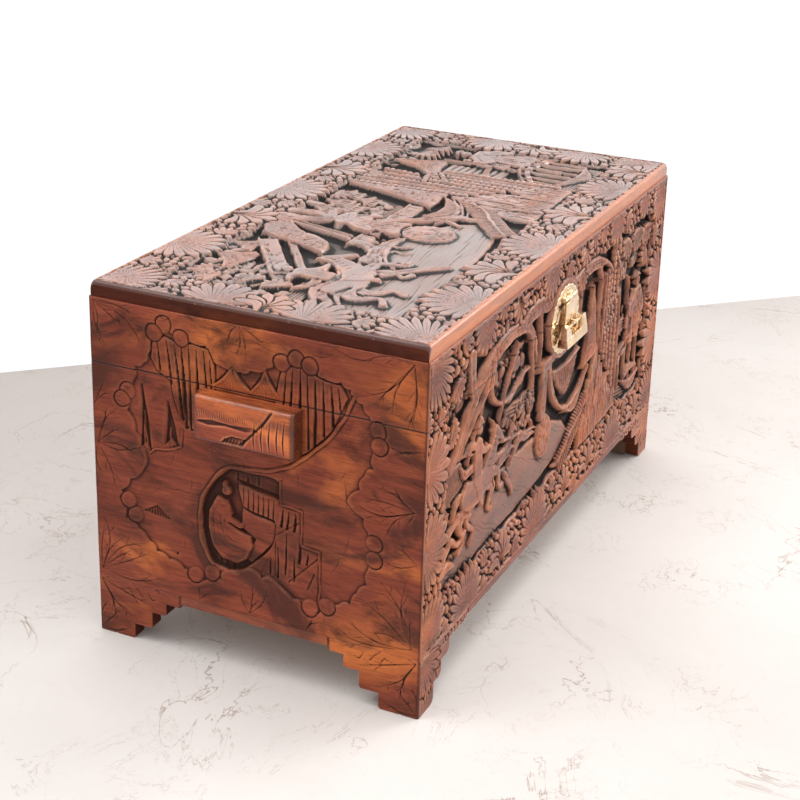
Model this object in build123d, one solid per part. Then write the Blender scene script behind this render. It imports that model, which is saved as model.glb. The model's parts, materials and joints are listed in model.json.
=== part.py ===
from build123d import *
import math
import os

# A carved camphor-wood chest with a boxed, back-hinged lid, block handles, stepped bracket
# feet and a brass hasp lock with a sliding-bolt padlock.
# Millimetres, +Z up, floor at z = 0. The lock is on the -Y face and the hinges on the +Y face.
# The model is drawn about the middle of the carcase and shifted once, in save().

# ---------------------------------------------------------------- driving dimensions
LENGTH = 1030.0            # over the boards, along X
DEPTH = 530.0              # over the boards, along Y
HEIGHT = 560.0             # floor to the top of the lid
BODY_WALL = 24.0           # thickness of the body's boards
LID_WALL = 22.0            # thickness of the lid's rails
SEAM_Z = 438.0             # where the lid meets the body
SEAM_GAP = 0.6             # between the body's rim and the lid's rails
TOP_BOARD = 24.0           # thickness of the lid's top board
TOP_INSET = 3.0            # the top board stands back from the rails
TOP_ROUND = 7.0            # rounding of the top board's upper edge
BASE_Z = 93.0              # underside of the body's boards, top of the feet
FIELD_DEPTH = 8.0          # how far the carved fields are sunk
FRONT_FIELD_SIDE = 42.0    # the front's uncut border, at its ends
FRONT_FIELD_ABOVE = 50.0   # above its field
FRONT_FIELD_BELOW = 72.0   # and below it
FRONT_FIELD_CORNER = 30.0
TOP_FIELD_BORDER = 82.0
TOP_FIELD_CORNER = 40.0

HALF_L = LENGTH / 2
HALF_D = DEPTH / 2
FRONT = -HALF_D
RIM_Z = SEAM_Z - SEAM_GAP / 2
LID_Z = SEAM_Z + SEAM_GAP / 2
RAIL_TOP = HEIGHT - TOP_BOARD

# Bottom, lips and base
BOTTOM_Z = 94.0
BOTTOM_THICK = 14.0
PLANKS = 4
PLANK_GAP = 0.5
BATTEN_XS = (-280.0, 0.0, 280.0)
BATTEN_WIDTH = 40.0
BATTEN_HEIGHT = 15.0
LIP_THICK = 8.0
LIP_BELOW = 22.0
LIP_ABOVE = 10.0
FRONT_STRIP_Z = 84.0
END_STRIP_Z = 79.0
BLOCK_SIDE = 34.0
BLOCK_CLEAR = 4.0

# Foot outlines: (width from the corner, height where that width ends), from the floor up
FRONT_FOOT = [(50.0, 32.0), (75.0, 57.0), (102.0, 78.0), (170.0, BASE_Z)]
END_FOOT = [(62.0, 25.0), (93.0, 52.0), (118.0, 72.0), (144.0, BASE_Z)]
FRONT_SCALLOP = 10.0       # rounding of the hanging lobes of the long brackets
END_SCALLOP = 4.0          # rounding of the steps of the end brackets
NOTCH_ROUND = 2.0          # rounding of the inner corners between two steps

# Handles
HANDLE_WIDTH = 158.0
HANDLE_LOW = 366.0
HANDLE_HIGH = 434.0
HANDLE_PROUD = 27.0
HANDLE_ROUND = 7.0
COVE_WIDTH = 126.0
COVE_DEPTH = 13.0
COVE_HEIGHT = 17.0
COVE_BACK = 3.0
HANDLE_SCREW_SPACING = 110.0
HANDLE_SCREW_DROP = 22.0   # the screws' line, below the handle's top
HANDLE_SCREW = (5.0, 2.5, 42.0)    # head radius, shank radius, length

# Lock
PLATE_WIDTH = 126.0
PLATE_LOW = 374.0
PLATE_HIGH = 487.0
PLATE_THICK = 2.0
PLATE_LOBES = 22
PLATE_LOBE_DEPTH = 2.4
POINTS_PER_LOBE = 6
PAD_MARGIN = 4.0           # flat wood left round the plate
UPPER_PINS = [(-48.0, 447.0), (48.0, 447.0), (0.0, 479.0)]
LOWER_PINS = [(-46.0, 412.0), (46.0, 412.0), (0.0, 382.0)]
PLATE_PIN_HEAD = (2.6, 1.2)        # radius and height
PLATE_PIN_SHANK = (1.0, 14.0)      # radius and length
HASP_PIN_Y = FRONT - 6.2
HASP_PIN_Z = 468.0
HASP_PIN_R = 1.6
HASP_KNUCKLE_R = 3.8
HASP_WEB = 3.6             # the web that joins a knuckle to the upper plate
HASP_PIN_HEAD = 1.5        # thickness of the pin's two heads
HASP_WIDTH = 48.0
HASP_THICK = 2.0
HASP_BACK_Y = FRONT - 8.0
HASP_LOW = 414.2
HASP_CORNER = 14.0
HASP_SLOT_WIDTH = 7.0
HASP_SLOT_LOW = 417.8
HASP_SLOT_HIGH = 433.6
RUNNING = 0.05             # radial clearance of turning fits
ROD_OUT = 15.0             # padlock's rod, out from the front boards
ROD_Y = FRONT - ROD_OUT
ROD_Z = 425.5
ROD_R = 3.0
STAPLE_WIRE_R = 1.5
STAPLE_EYE_R = 4.0
LOCK_LENGTH = 90.0         # padlock, end to end
LOCK_LOW = 398.0
LOCK_HIGH = 431.0
LOCK_BAR_TOP = 413.0
LOCK_BASE_DEPTH = 18.0
LOCK_TOP_DEPTH = 8.4
HORN_FOOT = 24.0           # horn's width where it leaves the bar
HORN_TOP = 14.0
END_CAP = 5.0              # the moving end plate of the padlock
STEM_LENGTH = 58.0
STEM_R = 2.2

# Back hinges
HINGE_X = 330.0
HINGE_OUT = 5.2            # hinge axis, out from the back boards
HINGE_AXIS_Y = HALF_D + HINGE_OUT
HINGE_KNUCKLE_R = 4.5
HINGE_PIN_R = 2.0
HINGE_LENGTH = 76.0
HINGE_LEAF_THICK = 1.7
HINGE_LEAF_REACH = 20.0
KNUCKLE_GAP = 0.4
LEAF_SCREW = (3.2, 1.5, 16.0)      # head radius, shank radius, length
LEAF_SCREW_XS = (-26.0, 0.0, 26.0)
LEAF_SCREW_Y = HALF_D - 10.0

# The padlock stands out in front and the hinge knuckles behind. This shift puts the middle of
# the whole object's box over the origin.
FRONT_PROUD = ROD_OUT + LOCK_BASE_DEPTH / 2
BACK_PROUD = HINGE_OUT + HINGE_KNUCKLE_R
CARCASE_Y = (FRONT_PROUD - BACK_PROUD) / 2


def save(shape, name):
    """Writes one piece in the finished object's frame."""
    export_step(Pos(0, CARCASE_Y, 0) * shape, f"parts/{name}.step")


def block(x0, x1, y0, y1, z0, z1):
    """A box between two corners."""
    size = Box(x1 - x0, y1 - y0, z1 - z0)
    return Pos((x0 + x1) / 2, (y0 + y1) / 2, (z0 + z1) / 2) * size


def rod_x(x0, x1, y, z, radius):
    """A cylinder along X."""
    return Pos((x0 + x1) / 2, y, z) * Rot(0, 90, 0) * Cylinder(radius, x1 - x0)


def prism_z(points, z0, z1):
    """A flat outline in X and Y, raised from z0 to z1."""
    outline = make_face(Polyline(*points, close=True))
    return extrude(Pos(0, 0, z0) * outline, z1 - z0)


def merged(parts):
    """One solid from several that touch or overlap."""
    whole = parts[0]
    for extra in parts[1:]:
        whole = whole + extra
    return whole


def pierced(shape, cutters):
    """A shape with each of the cutters taken out of it."""
    for cutter in cutters:
        shape = shape - cutter
    return shape


def unmoved(shape):
    return shape


def mirrored_x(shape):
    return mirror(shape, about=Plane.YZ)


def mirrored_y(shape):
    return mirror(shape, about=Plane.XZ)


def mirrored_both(shape):
    return mirrored_x(mirrored_y(shape))


# ---------------------------------------------------------------- carcase boards
def front_board(wall, z0, z1):
    """A board of the front face, mitred at both corners."""
    outline = [
        (-HALF_L, FRONT),
        (HALF_L, FRONT),
        (HALF_L - wall, FRONT + wall),
        (-HALF_L + wall, FRONT + wall),
    ]
    return prism_z(outline, z0, z1)


def end_board(wall, z0, z1):
    """A board of the -X end, mitred at both corners."""
    outline = [
        (-HALF_L, -HALF_D),
        (-HALF_L + wall, -HALF_D + wall),
        (-HALF_L + wall, HALF_D - wall),
        (-HALF_L, HALF_D),
    ]
    return prism_z(outline, z0, z1)


def front_field(z0, z1):
    """The sunken field of the front face, with the flat pad left standing behind the lock plate."""
    low = BASE_Z + FRONT_FIELD_BELOW
    high = RAIL_TOP - FRONT_FIELD_ABOVE
    half = HALF_L - FRONT_FIELD_SIDE
    field = block(-half, half, FRONT - 1, FRONT + FIELD_DEPTH, low, high)
    field = fillet(field.edges().filter_by(Axis.Y), FRONT_FIELD_CORNER)
    pad_r = PLATE_WIDTH / 2 + PAD_MARGIN
    pad_z = (PLATE_LOW + PLATE_HIGH) / 2
    pad = Pos(0, FRONT, pad_z) * Rot(90, 0, 0) * Cylinder(pad_r, 4 * FIELD_DEPTH)
    layer = block(-HALF_L, HALF_L, FRONT - 1, FRONT + FIELD_DEPTH, z0, z1)
    return (field - pad) & layer


def top_field():
    """The sunken field of the lid's top."""
    half_l = HALF_L - TOP_FIELD_BORDER
    half_d = HALF_D - TOP_FIELD_BORDER
    field = block(-half_l, half_l, -half_d, half_d, HEIGHT - FIELD_DEPTH, HEIGHT + 1)
    return fillet(field.edges().filter_by(Axis.Z), TOP_FIELD_CORNER)


def top_board():
    half_l = HALF_L - TOP_INSET
    half_d = HALF_D - TOP_INSET
    board = block(-half_l, half_l, -half_d, half_d, RAIL_TOP, HEIGHT)
    rim = board.faces().sort_by(Axis.Z)[-1].edges()
    board = fillet(rim, TOP_ROUND)
    return board - top_field()


# ---------------------------------------------------------------- bottom and base
def bottom_plank(index):
    """One plank of the bottom, running the length of the chest."""
    inside = DEPTH - 2 * BODY_WALL
    pitch = inside / PLANKS
    y0 = -inside / 2 + index * pitch + PLANK_GAP / 2
    reach = HALF_L - BODY_WALL
    return block(-reach, reach, y0, y0 + pitch - PLANK_GAP, BOTTOM_Z, BOTTOM_Z + BOTTOM_THICK)


def batten(x):
    """A cross batten under the planks."""
    reach = HALF_D - BODY_WALL
    half = BATTEN_WIDTH / 2
    return block(x - half, x + half, -reach, reach, BOTTOM_Z - BATTEN_HEIGHT, BOTTOM_Z)


def foot_outline(steps, scallop):
    """The stepped outline of a bracket foot, from the corner at u = 0."""
    points = [(0.0, 0.0)]
    for width, top in steps:
        low = points[-1][1]
        points += [(width, low), (width, top)]
    points.append((0.0, BASE_Z))
    face = make_face(Polyline(*points, close=True))
    for width, top in steps[:-1]:
        notch = [v for v in face.vertices() if abs(v.X - width) < 0.1 and abs(v.Y - top) < 0.1]
        face = fillet(notch, NOTCH_ROUND)
    low = 0.0
    for width, top in steps:
        corner = [v for v in face.vertices() if abs(v.X - width) < 0.1 and abs(v.Y - low) < 0.1]
        face = fillet(corner, min(scallop, 0.7 * (top - low)))
        low = top
    return face


def foot_piece(steps, scallop):
    """A bracket at the corner u = 0, v = 0: u along the face, v into the chest, mitred at the corner."""
    reach = steps[-1][0]
    outline = foot_outline(steps, scallop)
    upright = Rot(90, 0, 0) * outline
    solid = extrude(upright, BODY_WALL, dir=(0, 1, 0))
    corners = [(0, 0), (reach + 1, 0), (reach + 1, BODY_WALL), (BODY_WALL, BODY_WALL)]
    return solid & prism_z(corners, -1, BASE_Z + 1)


def front_foot():
    """The front-facing bracket of the front corner at -X."""
    return Pos(-HALF_L, -HALF_D, 0) * foot_piece(FRONT_FOOT, FRONT_SCALLOP)


def end_foot():
    """The end-facing bracket of the front corner at -X."""
    turned = Rot(0, 0, 90) * mirrored_y(foot_piece(END_FOOT, END_SCALLOP))
    return Pos(-HALF_L, -HALF_D, 0) * turned


def foot_block():
    """The glue block inside the front corner at -X."""
    x0 = -HALF_L + BODY_WALL
    y0 = -HALF_D + BODY_WALL
    return block(x0, x0 + BLOCK_SIDE, y0, y0 + BLOCK_SIDE, BLOCK_CLEAR, BOTTOM_Z)


def front_strip():
    reach = HALF_L - FRONT_FOOT[-1][0]
    return block(-reach, reach, FRONT, FRONT + BODY_WALL, FRONT_STRIP_Z, BASE_Z)


def end_strip():
    reach = HALF_D - END_FOOT[-1][0]
    return block(-HALF_L, -HALF_L + BODY_WALL, -reach, reach, END_STRIP_Z, BASE_Z)


def front_lip():
    """The dust lip inside the front, which the lid drops over."""
    reach = HALF_L - BODY_WALL - LIP_THICK - PLANK_GAP
    y0 = FRONT + BODY_WALL
    return block(-reach, reach, y0, y0 + LIP_THICK, SEAM_Z - LIP_BELOW, SEAM_Z + LIP_ABOVE)


def end_lip():
    x0 = -HALF_L + BODY_WALL
    y1 = HALF_D - BODY_WALL - LIP_THICK
    return block(x0, x0 + LIP_THICK, FRONT + BODY_WALL, y1, SEAM_Z - LIP_BELOW, SEAM_Z + LIP_ABOVE)


# ---------------------------------------------------------------- screws
def wood_screw(head_r, shank_r, length):
    """A countersunk slotted screw, its head's face at z = 0 and its point down."""
    head_h = head_r - shank_r
    head = Pos(0, 0, -head_h / 2) * Cone(shank_r, head_r, head_h)
    shank = Pos(0, 0, -head_h - (length - head_h) / 2) * Cylinder(shank_r, length - head_h)
    return head + shank


def slotted(screw, head_r):
    slot = Box(2.2 * head_r, head_r * 0.28, head_r * 0.4)
    return screw - slot


# ---------------------------------------------------------------- handles
def handle_block():
    """The -X handle, with a finger cove under it."""
    low = HANDLE_LOW
    x0 = -HALF_L - HANDLE_PROUD
    half = HANDLE_WIDTH / 2
    body = block(x0, -HALF_L, -half, half, low, HANDLE_HIGH)
    front_face = body.faces().sort_by(Axis.X)[0]
    body = fillet(front_face.edges(), HANDLE_ROUND)
    cove_half = COVE_WIDTH / 2
    inner = -HALF_L - COVE_BACK
    cove = block(inner - COVE_DEPTH, inner, -cove_half, cove_half, low - 1, low + COVE_HEIGHT)
    top = cove.faces().sort_by(Axis.Z)[-1]
    cove = fillet(top.edges().filter_by(Axis.Y), COVE_DEPTH / 2 - 0.5)
    return body - cove


def handle_screw_places(screw):
    """A screw's shape at the two places where it holds the -X handle from inside the chest."""
    inner = -HALF_L + BODY_WALL
    high = HANDLE_HIGH - HANDLE_SCREW_DROP
    half = HANDLE_SCREW_SPACING / 2
    return [Pos(inner, y, high) * Rot(0, 90, 0) * screw for y in (-half, half)]


def handle_screws():
    return handle_screw_places(slotted(wood_screw(*HANDLE_SCREW), HANDLE_SCREW[0]))


def handle_screw_holes():
    return merged(handle_screw_places(wood_screw(*HANDLE_SCREW)))


# ---------------------------------------------------------------- lock
def plate_blank():
    """The whole lobed lock plate, before it is parted at the seam."""
    half_w = PLATE_WIDTH / 2 - PLATE_LOBE_DEPTH
    half_h = (PLATE_HIGH - PLATE_LOW) / 2 - PLATE_LOBE_DEPTH
    middle = (PLATE_HIGH + PLATE_LOW) / 2
    points = []
    count = PLATE_LOBES * POINTS_PER_LOBE
    for i in range(count):
        angle = 2 * math.pi * i / count
        swell = PLATE_LOBE_DEPTH * abs(math.cos(angle * PLATE_LOBES / 2))
        points.append(((half_w + swell) * math.cos(angle), middle + (half_h + swell) * math.sin(angle)))
    outline = make_face(Polyline(*points, close=True))
    return Pos(0, FRONT, 0) * extrude(Rot(90, 0, 0) * outline, PLATE_THICK, dir=(0, -1, 0))


def lower_plate():
    return plate_blank() & block(-100, 100, FRONT - 10, FRONT + 1, PLATE_LOW - 5, RIM_Z)


def upper_plate():
    """The upper plate with its two hasp knuckles."""
    plate = plate_blank() & block(-100, 100, FRONT - 10, FRONT + 1, LID_Z, PLATE_HIGH + 5)
    third = HASP_WIDTH / 6
    knuckles = []
    for side in (-1, 1):
        inner = side * (third + KNUCKLE_GAP / 2)
        outer = side * HASP_WIDTH / 2
        x0, x1 = min(inner, outer), max(inner, outer)
        knuckles.append(rod_x(x0, x1, HASP_PIN_Y, HASP_PIN_Z, HASP_KNUCKLE_R))
        knuckles.append(block(x0, x1, HASP_PIN_Y, FRONT - PLATE_THICK, HASP_PIN_Z, HASP_PIN_Z + HASP_WEB))
    whole = merged([plate] + knuckles)
    return whole - rod_x(-HASP_WIDTH, HASP_WIDTH, HASP_PIN_Y, HASP_PIN_Z, HASP_PIN_R)


def hasp_pin():
    """The hasp's pin, with a flat head at each end."""
    half = HASP_WIDTH / 2
    end = half + HASP_PIN_HEAD
    pin = rod_x(-end, end, HASP_PIN_Y, HASP_PIN_Z, HASP_PIN_R)
    head_r = HASP_PIN_R * 1.5
    left_head = rod_x(-end, -half, HASP_PIN_Y, HASP_PIN_Z, head_r)
    right_head = rod_x(half, end, HASP_PIN_Y, HASP_PIN_Z, head_r)
    return pin + left_head + right_head


def hasp():
    """The strap that hangs from the lid and drops over the staple."""
    third = HASP_WIDTH / 6
    half = HASP_WIDTH / 2
    knuckle = rod_x(-third, third, HASP_PIN_Y, HASP_PIN_Z, HASP_KNUCKLE_R)
    strap_top = HASP_PIN_Z - HASP_KNUCKLE_R - 0.6
    front = HASP_BACK_Y - HASP_THICK
    strap = block(-half, half, front, HASP_BACK_Y, HASP_LOW, strap_top)
    low_corners = [e for e in strap.edges().filter_by(Axis.Y) if e.center().Z < HASP_LOW + 1]
    strap = fillet(low_corners, HASP_CORNER)
    tongue = block(-third, third, front, HASP_BACK_Y, strap_top - 2, HASP_PIN_Z)
    slot = block(
        -HASP_SLOT_WIDTH / 2, HASP_SLOT_WIDTH / 2, front - 1, HASP_BACK_Y + 1, HASP_SLOT_LOW, HASP_SLOT_HIGH
    )
    whole = merged([knuckle, strap, tongue]) - slot
    bore = rod_x(-half, half, HASP_PIN_Y, HASP_PIN_Z, HASP_PIN_R + RUNNING)
    return whole - bore


def staple():
    """The eye on the lower plate: two legs joined by a half ring, in the Y-Z plane."""
    spread = STAPLE_EYE_R + STAPLE_WIRE_R
    foot = FRONT - PLATE_THICK
    leg = abs(ROD_Y - foot)
    parts = []
    for side in (-1, 1):
        z = ROD_Z + side * spread
        parts.append(Pos(0, (ROD_Y + foot) / 2, z) * Rot(90, 0, 0) * Cylinder(STAPLE_WIRE_R, leg))
    ring = Pos(0, ROD_Y, ROD_Z) * Rot(0, 90, 0) * Torus(spread, STAPLE_WIRE_R)
    outer = block(-5, 5, ROD_Y - 20, ROD_Y, ROD_Z - 20, ROD_Z + 20)
    parts.append(ring & outer)
    return merged(parts)


def lock_section(z0, z1):
    """A slice of the padlock's wedge section, full length, between two heights."""
    rise = LOCK_HIGH - LOCK_LOW

    def half_depth(z):
        share = (z - LOCK_LOW) / rise
        return (LOCK_BASE_DEPTH + (LOCK_TOP_DEPTH - LOCK_BASE_DEPTH) * share) / 2

    low, high = half_depth(z0), half_depth(z1)
    outline = Polyline(
        (ROD_Y - low, z0), (ROD_Y + low, z0), (ROD_Y + high, z1), (ROD_Y - high, z1), close=True
    )
    face = Plane.YZ * make_face(outline)
    return Pos(-LOCK_LENGTH / 2, 0, 0) * extrude(face, LOCK_LENGTH, dir=(1, 0, 0))


def horn_mask(side):
    """The outline of one upright horn, seen from the front."""
    end = side * LOCK_LENGTH / 2
    lean = 2.0
    points = [
        (end, LOCK_BAR_TOP - 2),
        (end - side * HORN_FOOT, LOCK_BAR_TOP - 2),
        (end - side * HORN_FOOT, LOCK_BAR_TOP),
        (end - side * (HORN_TOP + lean), LOCK_HIGH),
        (end - side * lean, LOCK_HIGH),
    ]
    face = make_face(Polyline(*points, close=True))
    return Pos(0, ROD_Y, 0) * extrude(Rot(90, 0, 0) * face, 20, both=True)


def lock_whole():
    bar = lock_section(LOCK_LOW, LOCK_BAR_TOP)
    wedge = lock_section(LOCK_LOW, LOCK_HIGH)
    return merged([bar, wedge & horn_mask(-1), wedge & horn_mask(1)])


def padlock_body():
    """The fixed part: the hollow bar and the +X horn. The -X end plate belongs to the bolt."""
    split = -LOCK_LENGTH / 2 + END_CAP
    keep = block(split, LOCK_LENGTH, FRONT - 60, FRONT, LOCK_LOW - 5, LOCK_HIGH + 5)
    body = lock_whole() & keep
    horn_room = block(
        split - 1, -LOCK_LENGTH / 2 + HORN_FOOT + 1, FRONT - 60, FRONT, LOCK_BAR_TOP, LOCK_HIGH + 5
    )
    body = body - horn_room
    channel = block(split - 1, LOCK_LENGTH / 2 - 8, ROD_Y - 4, ROD_Y + 4, LOCK_LOW + 2, LOCK_LOW + 10)
    rod_hole = rod_x(LOCK_LENGTH / 2 - HORN_FOOT - 5, LOCK_LENGTH / 2 - 6, ROD_Y, ROD_Z, ROD_R + RUNNING)
    return body - channel - rod_hole


def padlock_bolt():
    """The sliding part: the -X end plate and horn, the rod through the staple and the spring stem."""
    split = -LOCK_LENGTH / 2 + END_CAP - 0.4
    keep_end = block(-LOCK_LENGTH, split, FRONT - 60, FRONT, LOCK_LOW - 5, LOCK_HIGH + 5)
    end = lock_whole() & keep_end
    horn_low = LOCK_BAR_TOP + 0.4
    keep_horn = block(
        -LOCK_LENGTH, -LOCK_LENGTH / 2 + HORN_FOOT + 1, FRONT - 60, FRONT, horn_low, LOCK_HIGH + 5
    )
    horn = lock_whole() & keep_horn
    rod = rod_x(-LOCK_LENGTH / 2 + HORN_TOP, LOCK_LENGTH / 2 - 8, ROD_Y, ROD_Z, ROD_R)
    stem = rod_x(split - 2, split + STEM_LENGTH, ROD_Y, LOCK_LOW + 6, STEM_R)
    return merged([end, horn, rod, stem])


def padlock_spring():
    """The two splayed leaves on the stem that catch inside the bar."""
    split = -LOCK_LENGTH / 2 + END_CAP - 0.4
    leaves = []
    for side in (-1, 1):
        y = ROD_Y + side * (STEM_R + 0.4)
        x1 = split + STEM_LENGTH - 4
        leaves.append(block(split + 14, x1, y - 0.4, y + 0.4, LOCK_LOW + 4, LOCK_LOW + 8))
    return leaves


def plate_pins(places):
    """Round-headed brass pins at (x, z) on the lock plate."""
    head_r, head_height = PLATE_PIN_HEAD
    shank_r, shank_length = PLATE_PIN_SHANK
    face = FRONT - PLATE_THICK
    pins = []
    for x, z in places:
        head = Pos(x, face - head_height / 2, z) * Rot(90, 0, 0) * Cylinder(head_r, head_height)
        head = fillet(head.faces().sort_by(Axis.Y)[0].edges(), 0.75 * head_height)
        shank = Pos(x, face + shank_length / 2, z) * Rot(90, 0, 0) * Cylinder(shank_r, shank_length)
        pins.append(head + shank)
    return pins


# ---------------------------------------------------------------- back hinges
def hinge_knuckle(x0, x1):
    return rod_x(x0, x1, HINGE_AXIS_Y, SEAM_Z, HINGE_KNUCKLE_R)


def hinge_leaf(low, high, spans, other_spans, hole_r):
    """A leaf in the seam with knuckles over spans, cut away over other_spans."""
    y0 = HALF_D - HINGE_LEAF_REACH
    leaf = block(-HINGE_LENGTH / 2, HINGE_LENGTH / 2, y0, HINGE_AXIS_Y, low, high)
    clear = 2 * HINGE_KNUCKLE_R
    y1 = HINGE_AXIS_Y + clear
    for x0, x1 in other_spans:
        x0, x1 = x0 - KNUCKLE_GAP, x1 + KNUCKLE_GAP
        leaf = leaf - block(x0, x1, HALF_D + 0.2, y1, low - clear, high + clear)
    whole = merged([leaf] + [hinge_knuckle(x0, x1) for x0, x1 in spans])
    return whole - rod_x(-HINGE_LENGTH, HINGE_LENGTH, HINGE_AXIS_Y, SEAM_Z, hole_r)


def hinge_spans():
    """The outer knuckles belong to the body's leaf, the middle one to the lid's."""
    sixth = HINGE_LENGTH / 6
    half = HINGE_LENGTH / 2
    outer = [(-half, -sixth - KNUCKLE_GAP), (sixth + KNUCKLE_GAP, half)]
    return outer, [(-sixth, sixth)]


def body_leaf():
    outer, middle = hinge_spans()
    return hinge_leaf(RIM_Z - HINGE_LEAF_THICK, RIM_Z, outer, middle, HINGE_PIN_R)


def lid_leaf():
    outer, middle = hinge_spans()
    return hinge_leaf(LID_Z, LID_Z + HINGE_LEAF_THICK, middle, outer, HINGE_PIN_R + RUNNING)


def hinge_pin():
    reach = HINGE_LENGTH / 2 + 1.0
    return rod_x(-reach, reach, HINGE_AXIS_Y, SEAM_Z, HINGE_PIN_R)


def leaf_screws(x_mid, up, cut):
    """Three small screws through a leaf, into the board above or below it.

    The shapes that cut the screws' holes have no slots.
    """
    made = []
    for dx in LEAF_SCREW_XS:
        screw = wood_screw(*LEAF_SCREW)
        if not cut:
            screw = slotted(screw, LEAF_SCREW[0])
        turn = Rot(180, 0, 0) if up else Rot(0, 0, 0)
        z = LID_Z if up else RIM_Z
        made.append(Pos(x_mid + dx, LEAF_SCREW_Y, z) * turn * screw)
    return made


def leaf_room(low, high):
    """What a leaf takes out of the board that it is let into."""
    half = HINGE_LENGTH / 2
    y0 = HALF_D - HINGE_LEAF_REACH
    return [block(x - half, x + half, y0, HALF_D + 1, low, high) for x in (-HINGE_X, HINGE_X)]


def leaf_screw_holes(up):
    """The holes of all six screws of the leaves on one side of the seam."""
    return leaf_screws(-HINGE_X, up, True) + leaf_screws(HINGE_X, up, True)


# ---------------------------------------------------------------- assembly
def make_body():
    front = front_board(BODY_WALL, BASE_Z, RIM_Z) - front_field(BASE_Z, RIM_Z)
    save(pierced(front, plate_pins(LOWER_PINS)), "front_panel")
    back = mirrored_y(front_board(BODY_WALL, BASE_Z, RIM_Z))
    back = pierced(back, leaf_room(RIM_Z - HINGE_LEAF_THICK, RIM_Z + 1))
    save(pierced(back, leaf_screw_holes(False)), "back_panel")
    left = end_board(BODY_WALL, BASE_Z, RIM_Z) - handle_screw_holes()
    save(left, "left_end_panel")
    save(mirrored_x(left), "right_end_panel")
    for i in range(PLANKS):
        save(bottom_plank(i), f"bottom_plank_{i + 1}")
    save(Compound([batten(x) for x in BATTEN_XS]), "bottom_battens")
    save(front_lip(), "front_dust_lip")
    save(end_lip(), "left_dust_lip")
    save(mirrored_x(end_lip()), "right_dust_lip")


def make_base():
    places = {
        "front_left": unmoved,
        "front_right": mirrored_x,
        "back_left": mirrored_y,
        "back_right": mirrored_both,
    }
    for corner, move in places.items():
        save(move(front_foot()), f"{corner}_foot_long_bracket")
        save(move(end_foot()), f"{corner}_foot_end_bracket")
        save(move(foot_block()), f"{corner}_foot_block")
    save(front_strip(), "front_base_strip")
    save(mirrored_y(front_strip()), "back_base_strip")
    save(end_strip(), "left_base_strip")
    save(mirrored_x(end_strip()), "right_base_strip")


def make_handles():
    screws = handle_screws()
    handle = handle_block() - handle_screw_holes()
    save(handle, "left_handle")
    save(mirrored_x(handle), "right_handle")
    save(Compound(screws), "left_handle_screws")
    save(Compound([mirrored_x(s) for s in screws]), "right_handle_screws")


def make_lid():
    front = front_board(LID_WALL, LID_Z, RAIL_TOP) - front_field(LID_Z, RAIL_TOP)
    save(pierced(front, plate_pins(UPPER_PINS)), "lid_front_rail")
    back = mirrored_y(front_board(LID_WALL, LID_Z, RAIL_TOP))
    back = pierced(back, leaf_room(LID_Z - 1, LID_Z + HINGE_LEAF_THICK))
    save(pierced(back, leaf_screw_holes(True)), "lid_back_rail")
    end = end_board(LID_WALL, LID_Z, RAIL_TOP)
    save(end, "lid_left_rail")
    save(mirrored_x(end), "lid_right_rail")
    save(top_board(), "lid_top")


def make_hinges():
    sides = {"left": -HINGE_X, "right": HINGE_X}
    for side, x in sides.items():
        leaf = pierced(Pos(x, 0, 0) * body_leaf(), leaf_screws(x, False, True))
        save(leaf, f"{side}_hinge_body_leaf")
        leaf = pierced(Pos(x, 0, 0) * lid_leaf(), leaf_screws(x, True, True))
        save(leaf, f"{side}_hinge_lid_leaf")
        save(Pos(x, 0, 0) * hinge_pin(), f"{side}_hinge_pin")
    for name, up in (("hinge_screws_body", False), ("hinge_screws_lid", True)):
        made = leaf_screws(-HINGE_X, up, False) + leaf_screws(HINGE_X, up, False)
        save(Compound(made), name)


def make_lock():
    save(pierced(lower_plate(), plate_pins(LOWER_PINS)), "lock_plate_lower")
    save(pierced(upper_plate(), plate_pins(UPPER_PINS)), "lock_plate_upper")
    save(Compound(plate_pins(LOWER_PINS)), "lock_plate_lower_pins")
    save(Compound(plate_pins(UPPER_PINS)), "lock_plate_upper_pins")
    save(staple(), "lock_staple")
    save(hasp_pin(), "hasp_pin")
    save(hasp(), "hasp")
    save(padlock_body(), "padlock_body")
    save(padlock_bolt(), "padlock_bolt")
    save(Compound(padlock_spring()), "padlock_spring")


os.makedirs("parts", exist_ok=True)
make_body()
make_base()
make_handles()
make_lid()
make_hinges()
make_lock()
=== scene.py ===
"""The look of a carved camphor-wood chest, built around its CAD frame.

Every carved board is drawn as a relief: a grid of heights in millimetres, cut with leaves, grapes,
trees, figures, roofs, boats and rocks, then turned into a closed mesh. Boards are drawn in their own
flat frame (u to the right, v up, seen from outside) and put in place by a small placing function.
"""

import json
import math
import random

import bmesh
import bpy
import numpy as np
from mathutils import Matrix, Vector


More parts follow.
